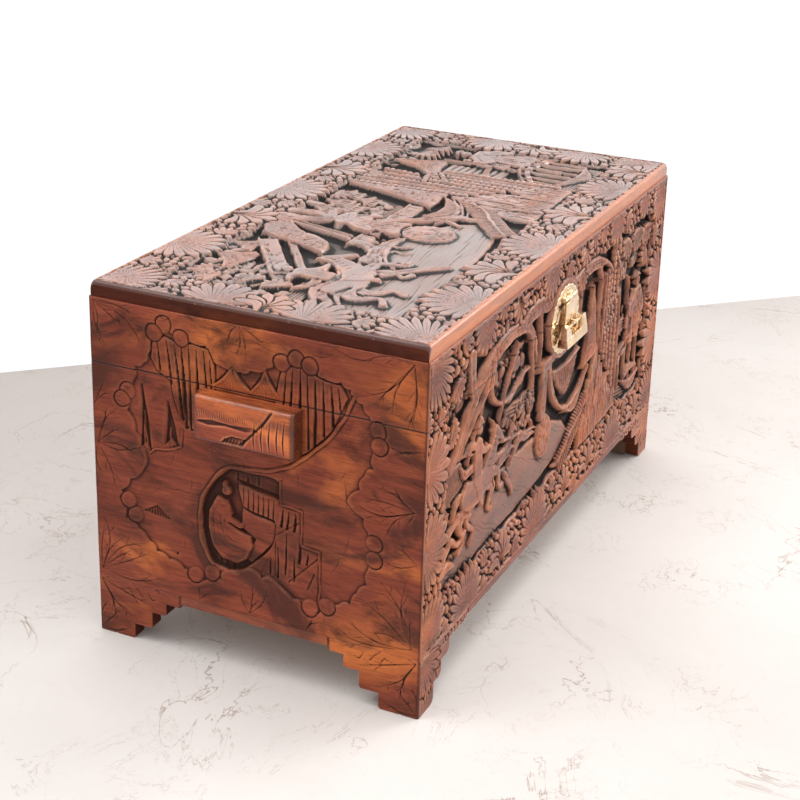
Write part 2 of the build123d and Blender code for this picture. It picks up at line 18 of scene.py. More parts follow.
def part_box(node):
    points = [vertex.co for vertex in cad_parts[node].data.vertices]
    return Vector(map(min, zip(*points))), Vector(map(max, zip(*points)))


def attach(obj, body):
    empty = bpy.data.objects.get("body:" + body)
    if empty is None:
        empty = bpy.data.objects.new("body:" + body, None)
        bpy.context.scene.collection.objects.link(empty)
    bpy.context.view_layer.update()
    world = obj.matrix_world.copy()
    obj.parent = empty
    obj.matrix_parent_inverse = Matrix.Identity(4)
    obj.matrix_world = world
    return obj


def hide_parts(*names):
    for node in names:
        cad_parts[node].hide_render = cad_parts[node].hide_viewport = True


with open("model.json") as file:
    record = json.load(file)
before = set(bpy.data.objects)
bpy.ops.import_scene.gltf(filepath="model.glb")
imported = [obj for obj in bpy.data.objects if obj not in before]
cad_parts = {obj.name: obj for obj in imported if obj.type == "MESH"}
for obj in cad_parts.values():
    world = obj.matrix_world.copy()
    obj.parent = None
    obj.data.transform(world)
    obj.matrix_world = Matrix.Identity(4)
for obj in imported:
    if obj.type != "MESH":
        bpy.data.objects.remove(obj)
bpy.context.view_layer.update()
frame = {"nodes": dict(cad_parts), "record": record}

MM = 0.001

# Everything below is in millimetres until a mesh is made.
STEP = 1.5                       # grid spacing of the reliefs
END_STEP = 1.15                  # and of the ends, whose cuts are finer
HANDLE_STEP = 0.8                # and of the small handles
FOOT_STEP = 1.7                  # and along the feet
WOOD_ROUND = 4.0                 # rounding of the boards' worn edges
TOP_ROUND = 7.0                  # rounding of the lid's upper edge
SEAM_ROUND = 0.9                 # rounding where the lid meets the body
HANDLE_ROUND = 6.0               # rounding of the handles' edges
HALF_TURN = 1 - math.sqrt(0.5)   # share of a rounding's radius left when a mitre stops it half way
GAP_LEVEL = -5.5                 # ground between the leaves of a border
FIELD_LEVEL = -14.0              # ground of the deep scenes
BODY_WALL = 24.0                 # thickness of the body's boards
LID_WALL = 22.0                  # thickness of the lid's rails


# ---------------------------------------------------------------- flat shapes
# A shape is (u0, u1, v0, v1, distance), where distance(u, v) is negative inside.
def disc(u, v, r):
    return u - r, u + r, v - r, v + r, lambda a, b: np.hypot(a - u, b - v) - r


def oval(u, v, ru, rv, turn=0.0):
    reach = max(ru, rv)
    c, s = math.cos(math.radians(turn)), math.sin(math.radians(turn))

    def distance(a, b):
        x = (a - u) * c + (b - v) * s
        y = -(a - u) * s + (b - v) * c
        return (np.hypot(x / ru, y / rv) - 1) * min(ru, rv)

    return u - reach, u + reach, v - reach, v + reach, distance


def stroke(points, radii):
    """A tapering round stroke along a chain of points."""
    if not hasattr(radii, "__len__"):
        radii = [radii] * len(points)
    most = max(radii)
    us = [p[0] for p in points]
    vs = [p[1] for p in points]

    def distance(a, b):
        best = None
        for p, q, r0, r1 in zip(points[:-1], points[1:], radii[:-1], radii[1:]):
            du, dv = q[0] - p[0], q[1] - p[1]
            long = du * du + dv * dv + 1e-9
            t = np.clip(((a - p[0]) * du + (b - p[1]) * dv) / long, 0, 1)
            d = np.hypot(a - p[0] - t * du, b - p[1] - t * dv) - (r0 + (r1 - r0) * t)
            best = d if best is None else np.minimum(best, d)
        return best

    return min(us) - most, max(us) + most, min(vs) - most, max(vs) + most, distance


def polygon(points):
    us = [p[0] for p in points]
    vs = [p[1] for p in points]

    def distance(a, b):
        best = np.full(a.shape, 1e9)
        inside = np.zeros(a.shape, bool)
        for p, q in zip(points, points[1:] + points[:1]):
            du, dv = q[0] - p[0], q[1] - p[1]
            t = np.clip(((a - p[0]) * du + (b - p[1]) * dv) / (du * du + dv * dv + 1e-9), 0, 1)
            best = np.minimum(best, np.hypot(a - p[0] - t * du, b - p[1] - t * dv))
            if p[1] != q[1]:
                crosses = (p[1] > b) != (q[1] > b)
                inside ^= crosses & (a < (q[0] - p[0]) * (b - p[1]) / (q[1] - p[1]) + p[0])
        return np.where(inside, -best, best)

    return min(us), max(us), min(vs), max(vs), distance


def curve(points, count=8):
    """A smooth chain of points through the given ones."""
    made = []
    last = len(points) - 1
    for i in range(last):
        p0, p1 = points[max(i - 1, 0)], points[i]
        p2, p3 = points[i + 1], points[min(i + 2, last)]
        for k in range(count):
            t = k / count
            made.append(tuple(
                0.5 * (
                    2 * b + (c - a) * t + (2 * a - 5 * b + 4 * c - d) * t * t
                    + (3 * b - a - 3 * c + d) * t ** 3
                )
                for a, b, c, d in zip(p0, p1, p2, p3)
            ))
    made.append(points[-1])
    return made


def taper(start, middle, end, count):
    """Radii for a stroke that swells towards its middle."""
    made = []
    for i in range(count):
        t = i / (count - 1)
        made.append(start + (middle - start) * 2 * t if t < 0.5 else middle + (end - middle) * (2 * t - 1))
    return made


# ---------------------------------------------------------------- the relief
class Relief:
    """Heights h in mm over a board's grid; 0 is its untouched surface.

    bite is how far below its surroundings, in mm, a cut is fully dark with dirt and painted shade. dark_ends
    is how strongly the stain gathers at the left and right edges. With split, the rows leave the seam's gap
    free.
    """

    FORM_MARGIN = 3.0        # how far past a form its wall can reach
    ROUND_SHARE = 0.62       # share of a form's rim that its rounding takes up
    NARROWEST_WALL = 0.7     # in grid steps
    WIDEST_WALL = 5.0

    def __init__(self, width, height, low=0.0, step=STEP, edge=WOOD_ROUND, split=None, us=None):
        self.width, self.height, self.low = width, height, low
        self.u = self.spaced(0.0, width, step, edge, edge) if us is None else us
        if split:
            body = self.spaced(low, split[0], step, edge, SEAM_ROUND)
            lid = self.spaced(split[1], low + height, step, SEAM_ROUND, SEAM_ROUND)
            self.v = np.concatenate([body, lid])
            self.body_rows, self.lid_rows = slice(0, len(body)), slice(len(body), None)
        else:
            self.v = self.spaced(low, low + height, step, edge, edge)
        self.U, self.V = np.meshgrid(self.u, self.v)
        self.sway_u = self.unsteady(self.V, self.U, 5.3, 2.1, 23.0, 11.9, 17.0)
        self.sway_v = self.unsteady(self.U, self.V, 6.1, 1.9, 19.0, 13.7, -15.0)
        self.h = np.zeros(self.U.shape)
        self.step = step
        self.bite = 2.0
        self.dark_ends = 1.0

    @staticmethod
    def spaced(a, b, step, first, last):
        """Grid lines from a to b, closer together round the two worn edges."""
        count = max(2, int(round((b - a - first - last) / step)) + 1)
        inner = np.linspace(a + first, b - last, count)
        quarter = 1 - np.cos(np.linspace(0, math.pi / 2, 5)[:-1])
        return np.concatenate([a + first * quarter, inner, (b - last * quarter)[::-1]])

    @staticmethod
    def unsteady(a, b, fine, bend, bend_pitch, coarse, slant):
        """How far a hand-cut outline strays: a fine bent wave and a coarse slanting one."""
        return 0.52 * np.sin(a / fine + bend * np.sin(b / bend_pitch)) + 0.42 * np.sin(a / coarse + b / slant)

    def window(self, shape, reach=0.0):
        """The part of the grid that holds a shape."""
        u0, u1, v0, v1 = shape[:4]
        i0, i1 = np.searchsorted(self.u, [u0 - reach, u1 + reach])
        j0, j1 = np.searchsorted(self.v, [v0 - reach, v1 + reach])
        return slice(j0, j1), slice(i0, i1)

    def form(self, shape, top, drop=2.0, rim=4.0, cover=False, texture=None):
        """Raises a rounded form: top in its middle, top - drop at its edge. With cover it also lowers."""
        w = self.window(shape, self.FORM_MARGIN)
        u, v = self.U[w], self.V[w]
        if not u.size:
            return
        d = shape[4](u + self.sway_u[w], v + self.sway_v[w])
        inner = np.clip(-d / (self.ROUND_SHARE * rim), 0, 1)
        h = top - drop * (1 - np.sqrt(np.clip(1 - (1 - inner) ** 2, 0, 1)))
        if texture is not None:
            h = h + texture(u, v, d)
        wall = np.clip(np.abs(h - self.h[w]) * 0.5, self.step * self.NARROWEST_WALL, self.WIDEST_WALL)
        share = np.clip(0.5 - d / wall, 0, 1)
        if not cover:
            share = np.where(h > self.h[w], share, 0)
        self.h[w] = self.h[w] * (1 - share) + h * share

    def sink(self, shape, level, slope=2.0):
        """Lowers everything inside to a level, with a sloping wall."""
        w = self.window(shape)
        u, v = self.U[w], self.V[w]
        if not u.size:
            return
        d = shape[4](u, v)
        wall = np.clip(-d / slope, 0, 1)
        self.h[w] = np.minimum(self.h[w], self.h[w] * (1 - wall) + level * wall)

    def cut(self, points, width=1.6, depth=1.2, fade=True):
        """A V groove along a chain of points, fading out towards its ends."""
        widths = [width] * len(points)
        if fade:
            widths = [width, width * 0.5]
            if len(points) > 2:
                widths = taper(width * 0.45, width, width * 0.35, len(points))
        shape = stroke(points, widths)
        w = self.window(shape, self.step)
        u, v = self.U[w], self.V[w]
        if not u.size:
            return
        d = shape[4](u, v)
        self.h[w] -= depth * np.clip(-d / width, 0, 1)

    def cell(self, u, v):
        """The row and column of the grid at a point."""
        i = min(int(np.searchsorted(self.u, u)), len(self.u) - 1)
        j = min(int(np.searchsorted(self.v, v)), len(self.v) - 1)
        return j, i

    def under(self, u, v):
        return self.h[self.cell(u, v)]


def blurred(h, reach):
    """A box blur over 2 * reach + 1 cells each way, twice."""
    for _ in range(2):
        for axis in (0, 1):
            padded = np.pad(h, [(reach + 1, reach) if a == axis else (0, 0) for a in (0, 1)], mode="edge")
            total = np.cumsum(padded, axis=axis)
            n = h.shape[axis]
            upper = np.take(total, range(2 * reach + 1, 2 * reach + 1 + n), axis=axis)
            lower = np.take(total, range(0, n), axis=axis)
            h = (upper - lower) / (2 * reach + 1)
    return h


def ripple(pitch, depth, turn=0.0):
    """A texture of parallel cuts across a form."""
    c, s = math.cos(math.radians(turn)), math.sin(math.radians(turn))

    def texture(u, v, d):
        phase = (u * c + v * s) / pitch
        return -depth * (0.5 + 0.5 * np.cos(2 * math.pi * phase)) * np.clip(-d / 1.5, 0, 1)

    return texture


def bricks(long, tall, turn):
    """Courses of paving or brick: thin joints along each course and staggered joints across it."""
    c, s = math.cos(math.radians(turn)), math.sin(math.radians(turn))

    def texture(u, v, d):
        a, b = u * c + v * s, v * c - u * s + 1.2 * np.sin(u / 37.0)
        course = np.floor(b / tall)
        joint = np.abs(b / tall - course - 0.5) * tall
        across = np.abs((a / long + 0.37 * course + 0.12 * np.sin(course * 2.3)) % 1.0 - 0.5) * long
        return -np.clip(joint - tall / 2 + 1.1, 0, 1) - np.clip(across - long / 2 + 1.1, 0, 1)

    return texture


def lattice(pitch, depth, turn=0.0):
    one, two = ripple(pitch, depth, turn), ripple(pitch, depth, turn + 90)
    return lambda u, v, d: one(u, v, d) + two(u, v, d)


# ---------------------------------------------------------------- leaves and fruit
LOBE_SHORTENING = 0.22       # how much shorter a leaf's outermost lobes are, as a share of its size
LOBE_NOTCH = 0.22            # depth of the notches between them, as a share of the lobe


def wedge_fan(u, v, turn, size, lobes, spread):
    """The polar frame of a lobed leaf, and the angle that one lobe takes up.

    field(a, b) gives the distance from the stem, the angle off the lobe's middle, the lobe's length,
    how far across the lobe the point is (1 at its side), and the leaf's edge in that direction.
    """
    pitch = math.radians(spread) / lobes
    half = (lobes - 1) / 2
    heading = math.radians(turn)

    def field(a, b):
        rho = np.hypot(a - u, b - v)
        phi = np.arctan2(b - v, a - u) - heading
        phi = (phi + math.pi) % (2 * math.pi) - math.pi
        k = np.clip(np.round(phi / pitch), -half, half)
        side = phi - k * pitch
        tip = size * (1 - LOBE_SHORTENING * (np.abs(k) / max(half, 1)) ** 1.5)
        share = np.clip(2 * np.abs(side) / pitch, 0, 4.0)
        edge = tip * (1 - LOBE_NOTCH * (0.55 * share + 0.45 * share ** 3))
        return rho, side, tip, share, np.maximum(edge, size * 0.04)

    return field, pitch


def vine_leaf(r, u, v, turn, size, lobes, spread, top):
    """A fan-shaped leaf worn flat on top: cuts between its lobes, a rib down each, small side veins."""
    field, pitch = wedge_fan(u, v, turn, size, lobes, spread)
    reach = size * 1.04

    def distance(a, b):
        rho, *_, edge = field(a, b)
        return (rho - edge) * 0.8

    def texture(a, b, d):
        rho, side, tip, share, _ = field(a, b)
        along, across = rho * np.cos(side), np.abs(rho * np.sin(side))
        out = np.clip(rho / size, 0, 1)
        seam_off = np.clip(1 - share, 0, 1) * rho * pitch / 2
        open_end = np.clip((rho / tip - 0.62) * 4, 0, 1)
        seam = -(0.9 + 0.7 * out + 2.2 * open_end) * np.clip(1 - seam_off / (0.75 + 1.3 * open_end), 0, 1)
        rib_reach = np.clip((0.84 - rho / tip) * 6, 0, 1) * np.clip(out * 5, 0, 1)
        rib = -1.1 * np.clip(1 - across / 0.9, 0, 1) * rib_reach
        vein = np.abs((along - 1.7 * across) / 7.0 % 1.0 - 0.5) * 7.0
        vein = -0.45 * np.clip(1 - vein / 0.8, 0, 1) * np.clip(out * 4 - 1.6, 0, 1)
        fold = -0.3 * np.clip(share, 0, 1) ** 2 * out
        return np.where(rho > size * 0.10, seam, 0) + rib + vein + fold

    shape = (u - reach, u + reach, v - reach, v + reach, distance)
    moat = (u - reach - 3, u + reach + 3, v - reach - 3, v + reach + 3, lambda a, b: distance(a, b) - 1.9)
    r.sink(moat, GAP_LEVEL, 1.4)
    r.form(shape, top, drop=0.7, rim=1.6, cover=True, texture=texture)


def blade_spray(r, u, v, turn, size, count, spread):
    """Curling blades that spring from one point, with slits between them."""
    for i in range(count):
        share = i / (count - 1) - 0.5
        angle = math.radians(turn + share * spread)
        length = size * (1 - 0.30 * abs(share) * 2)
        curl = share * 0.9
        middle = (u + 0.55 * length * math.cos(angle - curl), v + 0.55 * length * math.sin(angle - curl))
        tip = (u + length * math.cos(angle + curl * 0.3), v + length * math.sin(angle + curl * 0.3))
        chain = curve([(u, v), middle, tip], 6)
        shares = np.interp(np.linspace(0, 1, len(chain)), [0, 0.6, 0.85, 1], [0.03, 0.13, 0.11, 0.03])
        wide = [w * size for w in shares]
        r.sink(stroke(chain, [w + 1.7 for w in wide]), GAP_LEVEL, 1.3)
        r.form(stroke(chain, wide), -0.3 - 0.3 * abs(share), 0.8, 1.8, True)
        r.cut(chain[1:-1], 0.8, 0.9)


def grape(r, u, v, radius, top):
    """One berry, its crown worn nearly flat."""
    r.sink(disc(u, v, radius + 1.0), GAP_LEVEL, 1.0)
    r.form(disc(u, v, radius), top, 1.7, radius * 0.8, cover=True)


def petal(r, u, v, radius, top):
    """One small drop-shaped leaf of the filling, turned with its neighbours, with a cut down its middle."""
    turn = 1.9 * math.sin(u / 47.0 + 0.6) + 1.6 * math.cos(v / 39.0) + 0.7 * math.sin((u + v) / 21.0)
    c, s = math.cos(turn) * radius, math.sin(turn) * radius
    middle = (u - 0.2 * c + 0.1 * s, v - 0.2 * s - 0.1 * c)
    chain = [(u - 0.75 * c, v - 0.75 * s), middle, (u + 1.15 * c, v + 1.15 * s)]
    r.sink(stroke(chain, [radius * 0.72 + 1.0, radius * 0.86 + 1.0, 1.2]), GAP_LEVEL, 1.0)
    r.form(stroke(chain, [radius * 0.62, radius * 0.76, 0.5]), top, 1.1, radius * 0.35, cover=True)
    if radius > 4.5:
        r.cut([(u - 0.4 * c, v - 0.4 * s), (u + 0.6 * c, v + 0.6 * s)], 0.9, 0.9)


EIGHT_WAYS = np.arange(0, 6.2, 0.785)
BERRIES = (7.0, 6.0, 5.0, 4.0, 3.0)


def packed(r, inside, rng, radii, low, place):
    """Packs round things of falling size into the bare ground of a border."""
    ground = (r.h < low) & inside(r.U, r.V)
    for radius in radii:
        reach = max(1, int(round(radius / r.step)))
        clear = blurred(ground.astype(float), reach) > 0.80
        found = np.argwhere(clear)
        order = list(range(len(found)))
        rng.shuffle(order)
        for k in order:
            j, i = found[k]
            u, v = r.u[i], r.v[j]
            around = radius * 0.92
            cells = [r.cell(u + around * math.cos(t), v + around * math.sin(t)) for t in EIGHT_WAYS]
            if not ground[j, i] or not all(ground[c] for c in cells):
                continue
            size = radius * rng.uniform(0.92, 1.05)
            place(u, v, size)
            w = r.window(disc(u, v, size + 0.6))
            ground[w] &= np.hypot(r.U[w] - u, r.V[w] - v) > size + 0.6


def foliage(r, inside, rng, leaves, sprays):
    """A border: the big fans, then sprays, then small leaves in the larger gaps and berries in the rest."""
    for u, v, turn, size, lobes, spread in leaves:
        vine_leaf(r, u, v, turn, size, lobes, spread, top=rng.uniform(-0.5, -0.1))
    for u, v, turn, size, count, spread in sprays:
        blade_spray(r, u, v, turn, size, count, spread)
    bare = GAP_LEVEL + 0.8
    packed(r, inside, rng, (21.0, 16.0), bare, lambda u, v, size: vine_leaf(
        r, u + size * 0.8 * math.cos(size), v + size * 0.8 * math.sin(size),
        math.degrees(size) + 180, size * 1.7,
        5, 120, -0.4,
    ))
    packed(r, inside, rng, BERRIES, bare, lambda u, v, size: (grape if rng.random() < 0.3 else petal)(
        r, u, v, size, rng.uniform(-0.8, -0.2)
    ))


# ---------------------------------------------------------------- things in the scenes
def at(u, v, size, points, flip=False):
    sign = -1 if flip else 1
    return [(u + sign * size * a, v + size * b) for a, b in points]


def limb(r, points, radii, top, drop=2.5, bark=0):
    """A tapering round stroke; with bark, a flat-topped one with that many long cuts along it."""
    chain = curve(points, 7)
    radii = list(np.interp(np.linspace(0, 1, len(chain)), np.linspace(0, 1, len(radii)), radii))
    most = max(radii)
    if bark:
        r.form(stroke(chain, radii), top, 1.4, min(most, 3.5), cover=True)
        for k in range(bark):
            off = (k + 1) / (bark + 1) * 2 - 1
            line = []
            for p, q, size in zip(chain[:-1], chain[1:], radii):
                du, dv = q[0] - p[0], q[1] - p[1]
                long = math.hypot(du, dv) + 1e-9
                line.append((p[0] - dv / long * off * size * 0.8, p[1] + du / long * off * size * 0.8))
            third = len(line) // 3
            start = (k * 5) % third
            r.cut(line[start:start + 2 * third], 1.5, 1.7)
    else:
        r.form(stroke(chain, radii), top, min(drop, 1.8), min(most * 0.7, 2.6), cover=True)
    return chain


def clumps(r, area, rng, size, level, count):
    """Overlapping tufts of foliage over an area, each a small rounded leaf with a few cuts."""
    u0, u1, v0, v1, distance = polygon(area)
    for _ in range(count):
        u, v = rng.uniform(u0, u1), rng.uniform(v0, v1)
        if distance(np.array([u]), np.array([v]))[0] > 0:
            continue
        big = size * rng.uniform(0.6, 1.15)
        turn = rng.uniform(0, 180)
        top = level + rng.uniform(-2.5, 2.5)
        r.form(oval(u, v, big, big * rng.uniform(0.45, 0.75), turn), top, 1.6, big * 0.4, cover=True)
        c, s = math.cos(math.radians(turn)), math.sin(math.radians(turn))
        r.cut(
            [(u - c * big * 0.8, v - s * big * 0.8), (u, v + 1.0), (u + c * big * 0.8, v + s * big * 0.8)],
            1.0, 1.1
        )


CHISEL_FROM, CHISEL_TO = -6.4, -0.6      # heights between which the forms carry knife marks


def chisel(r, area, rng, count):
    """Groups of short knife marks over the carved forms of an area, following a slowly turning grain."""
    u0, u1, v0, v1, distance = polygon(area)
    for _ in range(count):
        u, v = rng.uniform(u0, u1), rng.uniform(v0, v1)
        if distance(np.array([u]), np.array([v]))[0] > 0 or not CHISEL_FROM < r.under(u, v) < CHISEL_TO:
            continue
        angle = math.radians(70 + 42 * math.sin(u / 61.0 + v / 90.0) + rng.uniform(-16, 16))
        c, s = math.cos(angle), math.sin(angle)
        long = rng.uniform(5, 11)
        for k in range(3):
            a, b = u - s * 3.3 * k, v + c * 3.3 * k
            if CHISEL_FROM < r.under(a, b) < CHISEL_TO:
                r.cut(
                    [(a, b), (a + c * long * 0.5, b + s * long * 0.5), (a + c * long, b + s * long)], 1.3, 1.5
                )


def slats(r, area, level, pitch, turn):
    """A wall or bank with strong parallel ridges, set back behind the figures."""
    r.form(polygon(area), level, 0.8, 2.0, cover=True, texture=ripple(pitch, 1.6, turn))


def house(r, u, v, wide, tall, top):
    """A small house end: walls with dark windows under a tiled roof."""
    r.form(
        polygon([(u, v), (u + wide, v), (u + wide, v + tall * 0.6), (u, v + tall * 0.6)]),
        top - 1.5, 0.6, 1.5, True
    )
    for k in range(max(2, int(wide / 9))):
        x = u + wide * (k + 0.5) / max(2, int(wide / 9))
        r.sink(polygon([
            (x - 1.8, v + tall * 0.14), (x + 1.8, v + tall * 0.14),
            (x + 1.8, v + tall * 0.42), (x - 1.8, v + tall * 0.42),
        ]), top - 6.5, 0.8)
    roof(
        r, (u - wide * 0.16, v + tall * 0.52),
        (u + wide * 1.16, v + tall * 0.52), (u + wide / 2, v + tall), 3.0, top
    )


def sized_limb(r, u, v, size, usual_drop, flip=False):
    """limb() for a figure that is drawn in units of its own size from its foot at (u, v)."""
    def put(points, radii, level, drop=usual_drop):
        return limb(r, at(u, v, size, points, flip), [x * size for x in radii], level, drop)

    return put


def horse(r, u, v, size, top):
    """A galloping horse; (u, v) is the lower left of the space that it fills, about size wide and tall."""
    put = sized_limb(r, u, v, size, 3.0)
    put([(0.20, 0.56), (0.06, 0.54), (-0.04, 0.38)], [0.035, 0.05, 0.008], top - 2.0)
    put([(0.62, 0.46), (0.80, 0.36), (0.74, 0.20), (0.82, 0.16)], [0.06, 0.035, 0.022, 0.03], top - 2.5)
    put([(0.32, 0.42), (0.30, 0.24), (0.42, 0.12), (0.38, 0.02)], [0.075, 0.04, 0.024, 0.034], top - 2.5)
    put([(0.26, 0.46), (0.12, 0.30), (0.20, 0.14), (0.10, 0.06)], [0.10, 0.05, 0.026, 0.036], top - 0.6)
    put([(0.68, 0.50), (0.90, 0.48), (0.96, 0.30), (1.04, 0.28)], [0.075, 0.04, 0.024, 0.034], top - 0.6)
    put([(0.26, 0.50), (0.46, 0.47), (0.66, 0.53)], [0.145, 0.12, 0.135], top, 3.4)
    neck = put([(0.66, 0.58), (0.78, 0.74), (0.84, 0.88)], [0.125, 0.085, 0.06], top + 0.2, 3.0)
    put([(0.82, 0.88), (0.92, 0.80), (1.00, 0.72)], [0.062, 0.045, 0.03], top + 0.2, 2.4)
    put([(0.81, 0.90), (0.80, 0.98)], [0.025, 0.008], top)
    for a, b in neck[2:-1:2]:
        r.cut([(a, b), (a - size * 0.09, b + size * 0.03)], size * 0.011, 1.2)
    cloth = polygon(at(u, v, size, [(0.33, 0.62), (0.57, 0.64), (0.60, 0.42), (0.46, 0.36), (0.31, 0.42)]))
    r.form(cloth, top + 0.5, 1.2, 3.0, texture=lattice(5.0, 0.5, 30))


def rider(r, u, v, size, top, lance):
    """A robed rider for horse(), drawn in the same frame. The head is a plain domed form."""
    put = sized_limb(r, u, v, size, 2.2)
    if lance:
        put([(0.10, 0.92), (0.60, 0.80), (0.60 + lance, 0.52)], [0.013, 0.016, 0.012], top - 0.5, 1.0)
    put([(0.40, 0.74), (0.22, 0.72), (0.10, 0.82)], [0.05, 0.045, 0.012], top - 1.5)
    put([(0.44, 0.62), (0.50, 0.46), (0.56, 0.32)], [0.075, 0.055, 0.03], top + 0.4)
    put([(0.44, 0.62), (0.44, 0.90)], [0.095, 0.08], top + 0.6, 2.8)
    put([(0.46, 0.88), (0.58, 0.80), (0.68, 0.80)], [0.045, 0.04, 0.022], top + 0.7, 1.6)
    put([(0.42, 0.88), (0.32, 0.94), (0.22, 0.90)], [0.042, 0.036, 0.02], top + 0.5, 1.6)
    head = at(u, v, size, [(0.455, 1.035)])[0]
    r.form(disc(head[0], head[1], size * 0.055), top + 0.4, 2.4, size * 0.055, True)
    put([(0.38, 1.075), (0.455, 1.115), (0.53, 1.075)], [0.014, 0.040, 0.014], top + 0.6, 1.6)
    for k in range(4):
        x = 0.38 + 0.035 * k
        r.cut(at(u, v, size, [(x, 0.86), (x + 0.01, 0.74), (x - 0.01, 0.62)]), size * 0.010, 0.9)


def person(r, u, v, size, top, flip=False, staff=False):
    """A standing robed figure, size tall, with its feet at (u, v) and a plain head."""
    put = sized_limb(r, u, v, size, 2.0, flip)

    def flat(points, level):
        r.form(polygon(at(u, v, size, points, flip)), level, 1.8, 3.0, cover=True)

    if staff:
        put([(0.36, 0.02), (0.34, 1.02)], [0.018, 0.018], top - 0.8, 1.0)
    flat([
        (-0.13, 0.80), (0.13, 0.80), (0.16, 0.52), (0.25, 0.06), (0.12, 0.01),
        (-0.02, 0.05), (-0.16, 0.0), (-0.24, 0.10), (-0.15, 0.50),
    ], top)
    flat(
        [(-0.12, 0.79), (-0.25, 0.60), (-0.31, 0.40), (-0.20, 0.33), (-0.10, 0.47), (-0.02, 0.62)], top + 0.7
    )
    flat([(0.12, 0.79), (0.27, 0.66), (0.37, 0.66), (0.36, 0.50), (0.22, 0.40), (0.06, 0.58)], top + 0.7)
    head = at(u, v, size, [(0.01, 0.88)], flip)[0]
    r.form(disc(head[0], head[1], size * 0.080), top + 0.2, 2.4, size * 0.08, True)
    put([(-0.08, 0.945), (0.01, 0.985), (0.10, 0.945)], [0.018, 0.038, 0.018], top + 0.5, 1.4)
    folds = [
        (-0.08, 0.72, -0.10, 0.05), (-0.03, 0.60, -0.02, 0.08),
        (0.03, 0.56, 0.06, 0.04), (0.09, 0.50, 0.15, 0.06),
        (-0.12, 0.46, -0.19, 0.10), (-0.14, 0.70, -0.24, 0.42),
        (0.16, 0.66, 0.30, 0.52), (-0.10, 0.62, -0.18, 0.46),
    ]
    fold_width = max(0.9, size * 0.014)
    for a, b, c, d in folds:
        middle = ((a + c) / 2 + 0.015, (b + d) / 2)
        r.cut(at(u, v, size, [(a, b), middle, (c, d)], flip), fold_width, 1.5)
    r.cut(at(u, v, size, [(-0.14, 0.52), (0.0, 0.49), (0.15, 0.52)], flip), fold_width, 1.3)


def parasol(r, u, v, ru, rv, top, spokes):
    """A round shield or parasol seen from above, with spokes and a boss."""
    def texture(a, b, d):
        angle = np.arctan2((b - v) / rv, (a - u) / ru)
        rho = np.hypot((a - u) / ru, (b - v) / rv)
        ribs = -0.7 * (0.5 + 0.5 * np.cos(spokes * angle)) * np.clip(rho * 1.3 - 0.2, 0, 1)
        ring = -0.8 * np.exp(-((rho - 0.30) / 0.07) ** 2) - 0.8 * np.exp(-((rho - 0.88) / 0.05) ** 2)
        return ribs + ring - 2.2 * rho ** 2

    r.form(oval(u, v, ru + 2.5, rv + 2.5), top - 5.5, 1.0, 2.0, cover=True)
    r.form(oval(u, v, ru, rv), top, 2.0, 3.0, cover=True, texture=texture)
    r.form(disc(u, v, min(ru, rv) * 0.19), top + 0.3, 1.6, min(ru, rv) * 0.19, cover=True)


def roof(r, left, right, peak, thick, top):
    """A swept tiled roof between two eaves, with a ridge board."""
    (lu, lv), (ru, rv), (pu, pv) = left, right, peak
    outline = curve([left, (lu + (pu - lu) * 0.62, lv + (pv - lv) * 0.42), peak], 6)
    outline += curve([peak, (ru + (pu - ru) * 0.62, rv + (pv - rv) * 0.42), right], 6)[1:]
    shape = polygon(outline + [(ru - thick * 0.3, rv - thick), (lu + thick * 0.3, lv - thick)])
    r.form(shape, top, 1.4, 3.0, cover=True, texture=ripple(4.6, 0.9, 12))
    for chain in (outline[:7], outline[6:]):
        r.form(stroke(chain, 2.0), top + 0.5, 1.2, 2.0)


def wall(r, a, b, width, top, pitch, turn=None):
    """A long straight band between two points, with courses along it and a raised coping."""
    du, dv = b[0] - a[0], b[1] - a[1]
    long = math.hypot(du, dv)
    nu, nv = -dv / long * width, du / long * width
    lines = math.degrees(math.atan2(du, -dv)) if turn is None else turn
    shape = polygon([a, b, (b[0] + nu, b[1] + nv), (a[0] + nu, a[1] + nv)])
    r.form(shape, top, 0.8, 1.5, cover=True, texture=ripple(pitch, 0.8, lines))
    r.form(stroke([(a[0] + nu, a[1] + nv), (b[0] + nu, b[1] + nv)], width * 0.06 + 1.2), top + 0.8, 1.2, 2.0)


def sail(r, apex, low_left, low_right, top):
    """A tall ribbed batten sail."""
    chain = curve([apex, ((apex[0] + low_left[0]) / 2 + 4, (apex[1] + low_left[1]) / 2), low_left], 6)
    shape = polygon(chain + [low_right])
    r.form(shape, top, 1.0, 2.0, cover=True, texture=lattice(4.4, 0.6, 88))
    r.form(stroke(chain, 1.7), top + 0.8, 1.0, 1.7)
    r.form(stroke([apex, low_right], 1.7), top + 0.8, 1.0, 1.7)


def hull(r, left, right, sag, deep, top, ribs=9.0):
    """A boat's crescent hull with planked sides."""
    (lu, lv), (ru, rv) = left, right
    middle = ((lu + ru) / 2, (lv + rv) / 2)
    upper = curve([left, (middle[0], middle[1] - sag), right], 8)
    lower = curve([right, (middle[0] + 6, middle[1] - sag - deep), left], 8)
    r.form(polygon(upper + lower[1:-1]), top, 2.0, deep * 0.4, cover=True, texture=ripple(ribs, 1.1, 14))
    r.form(stroke(upper, 1.9), top + 0.8, 1.2, 1.9)


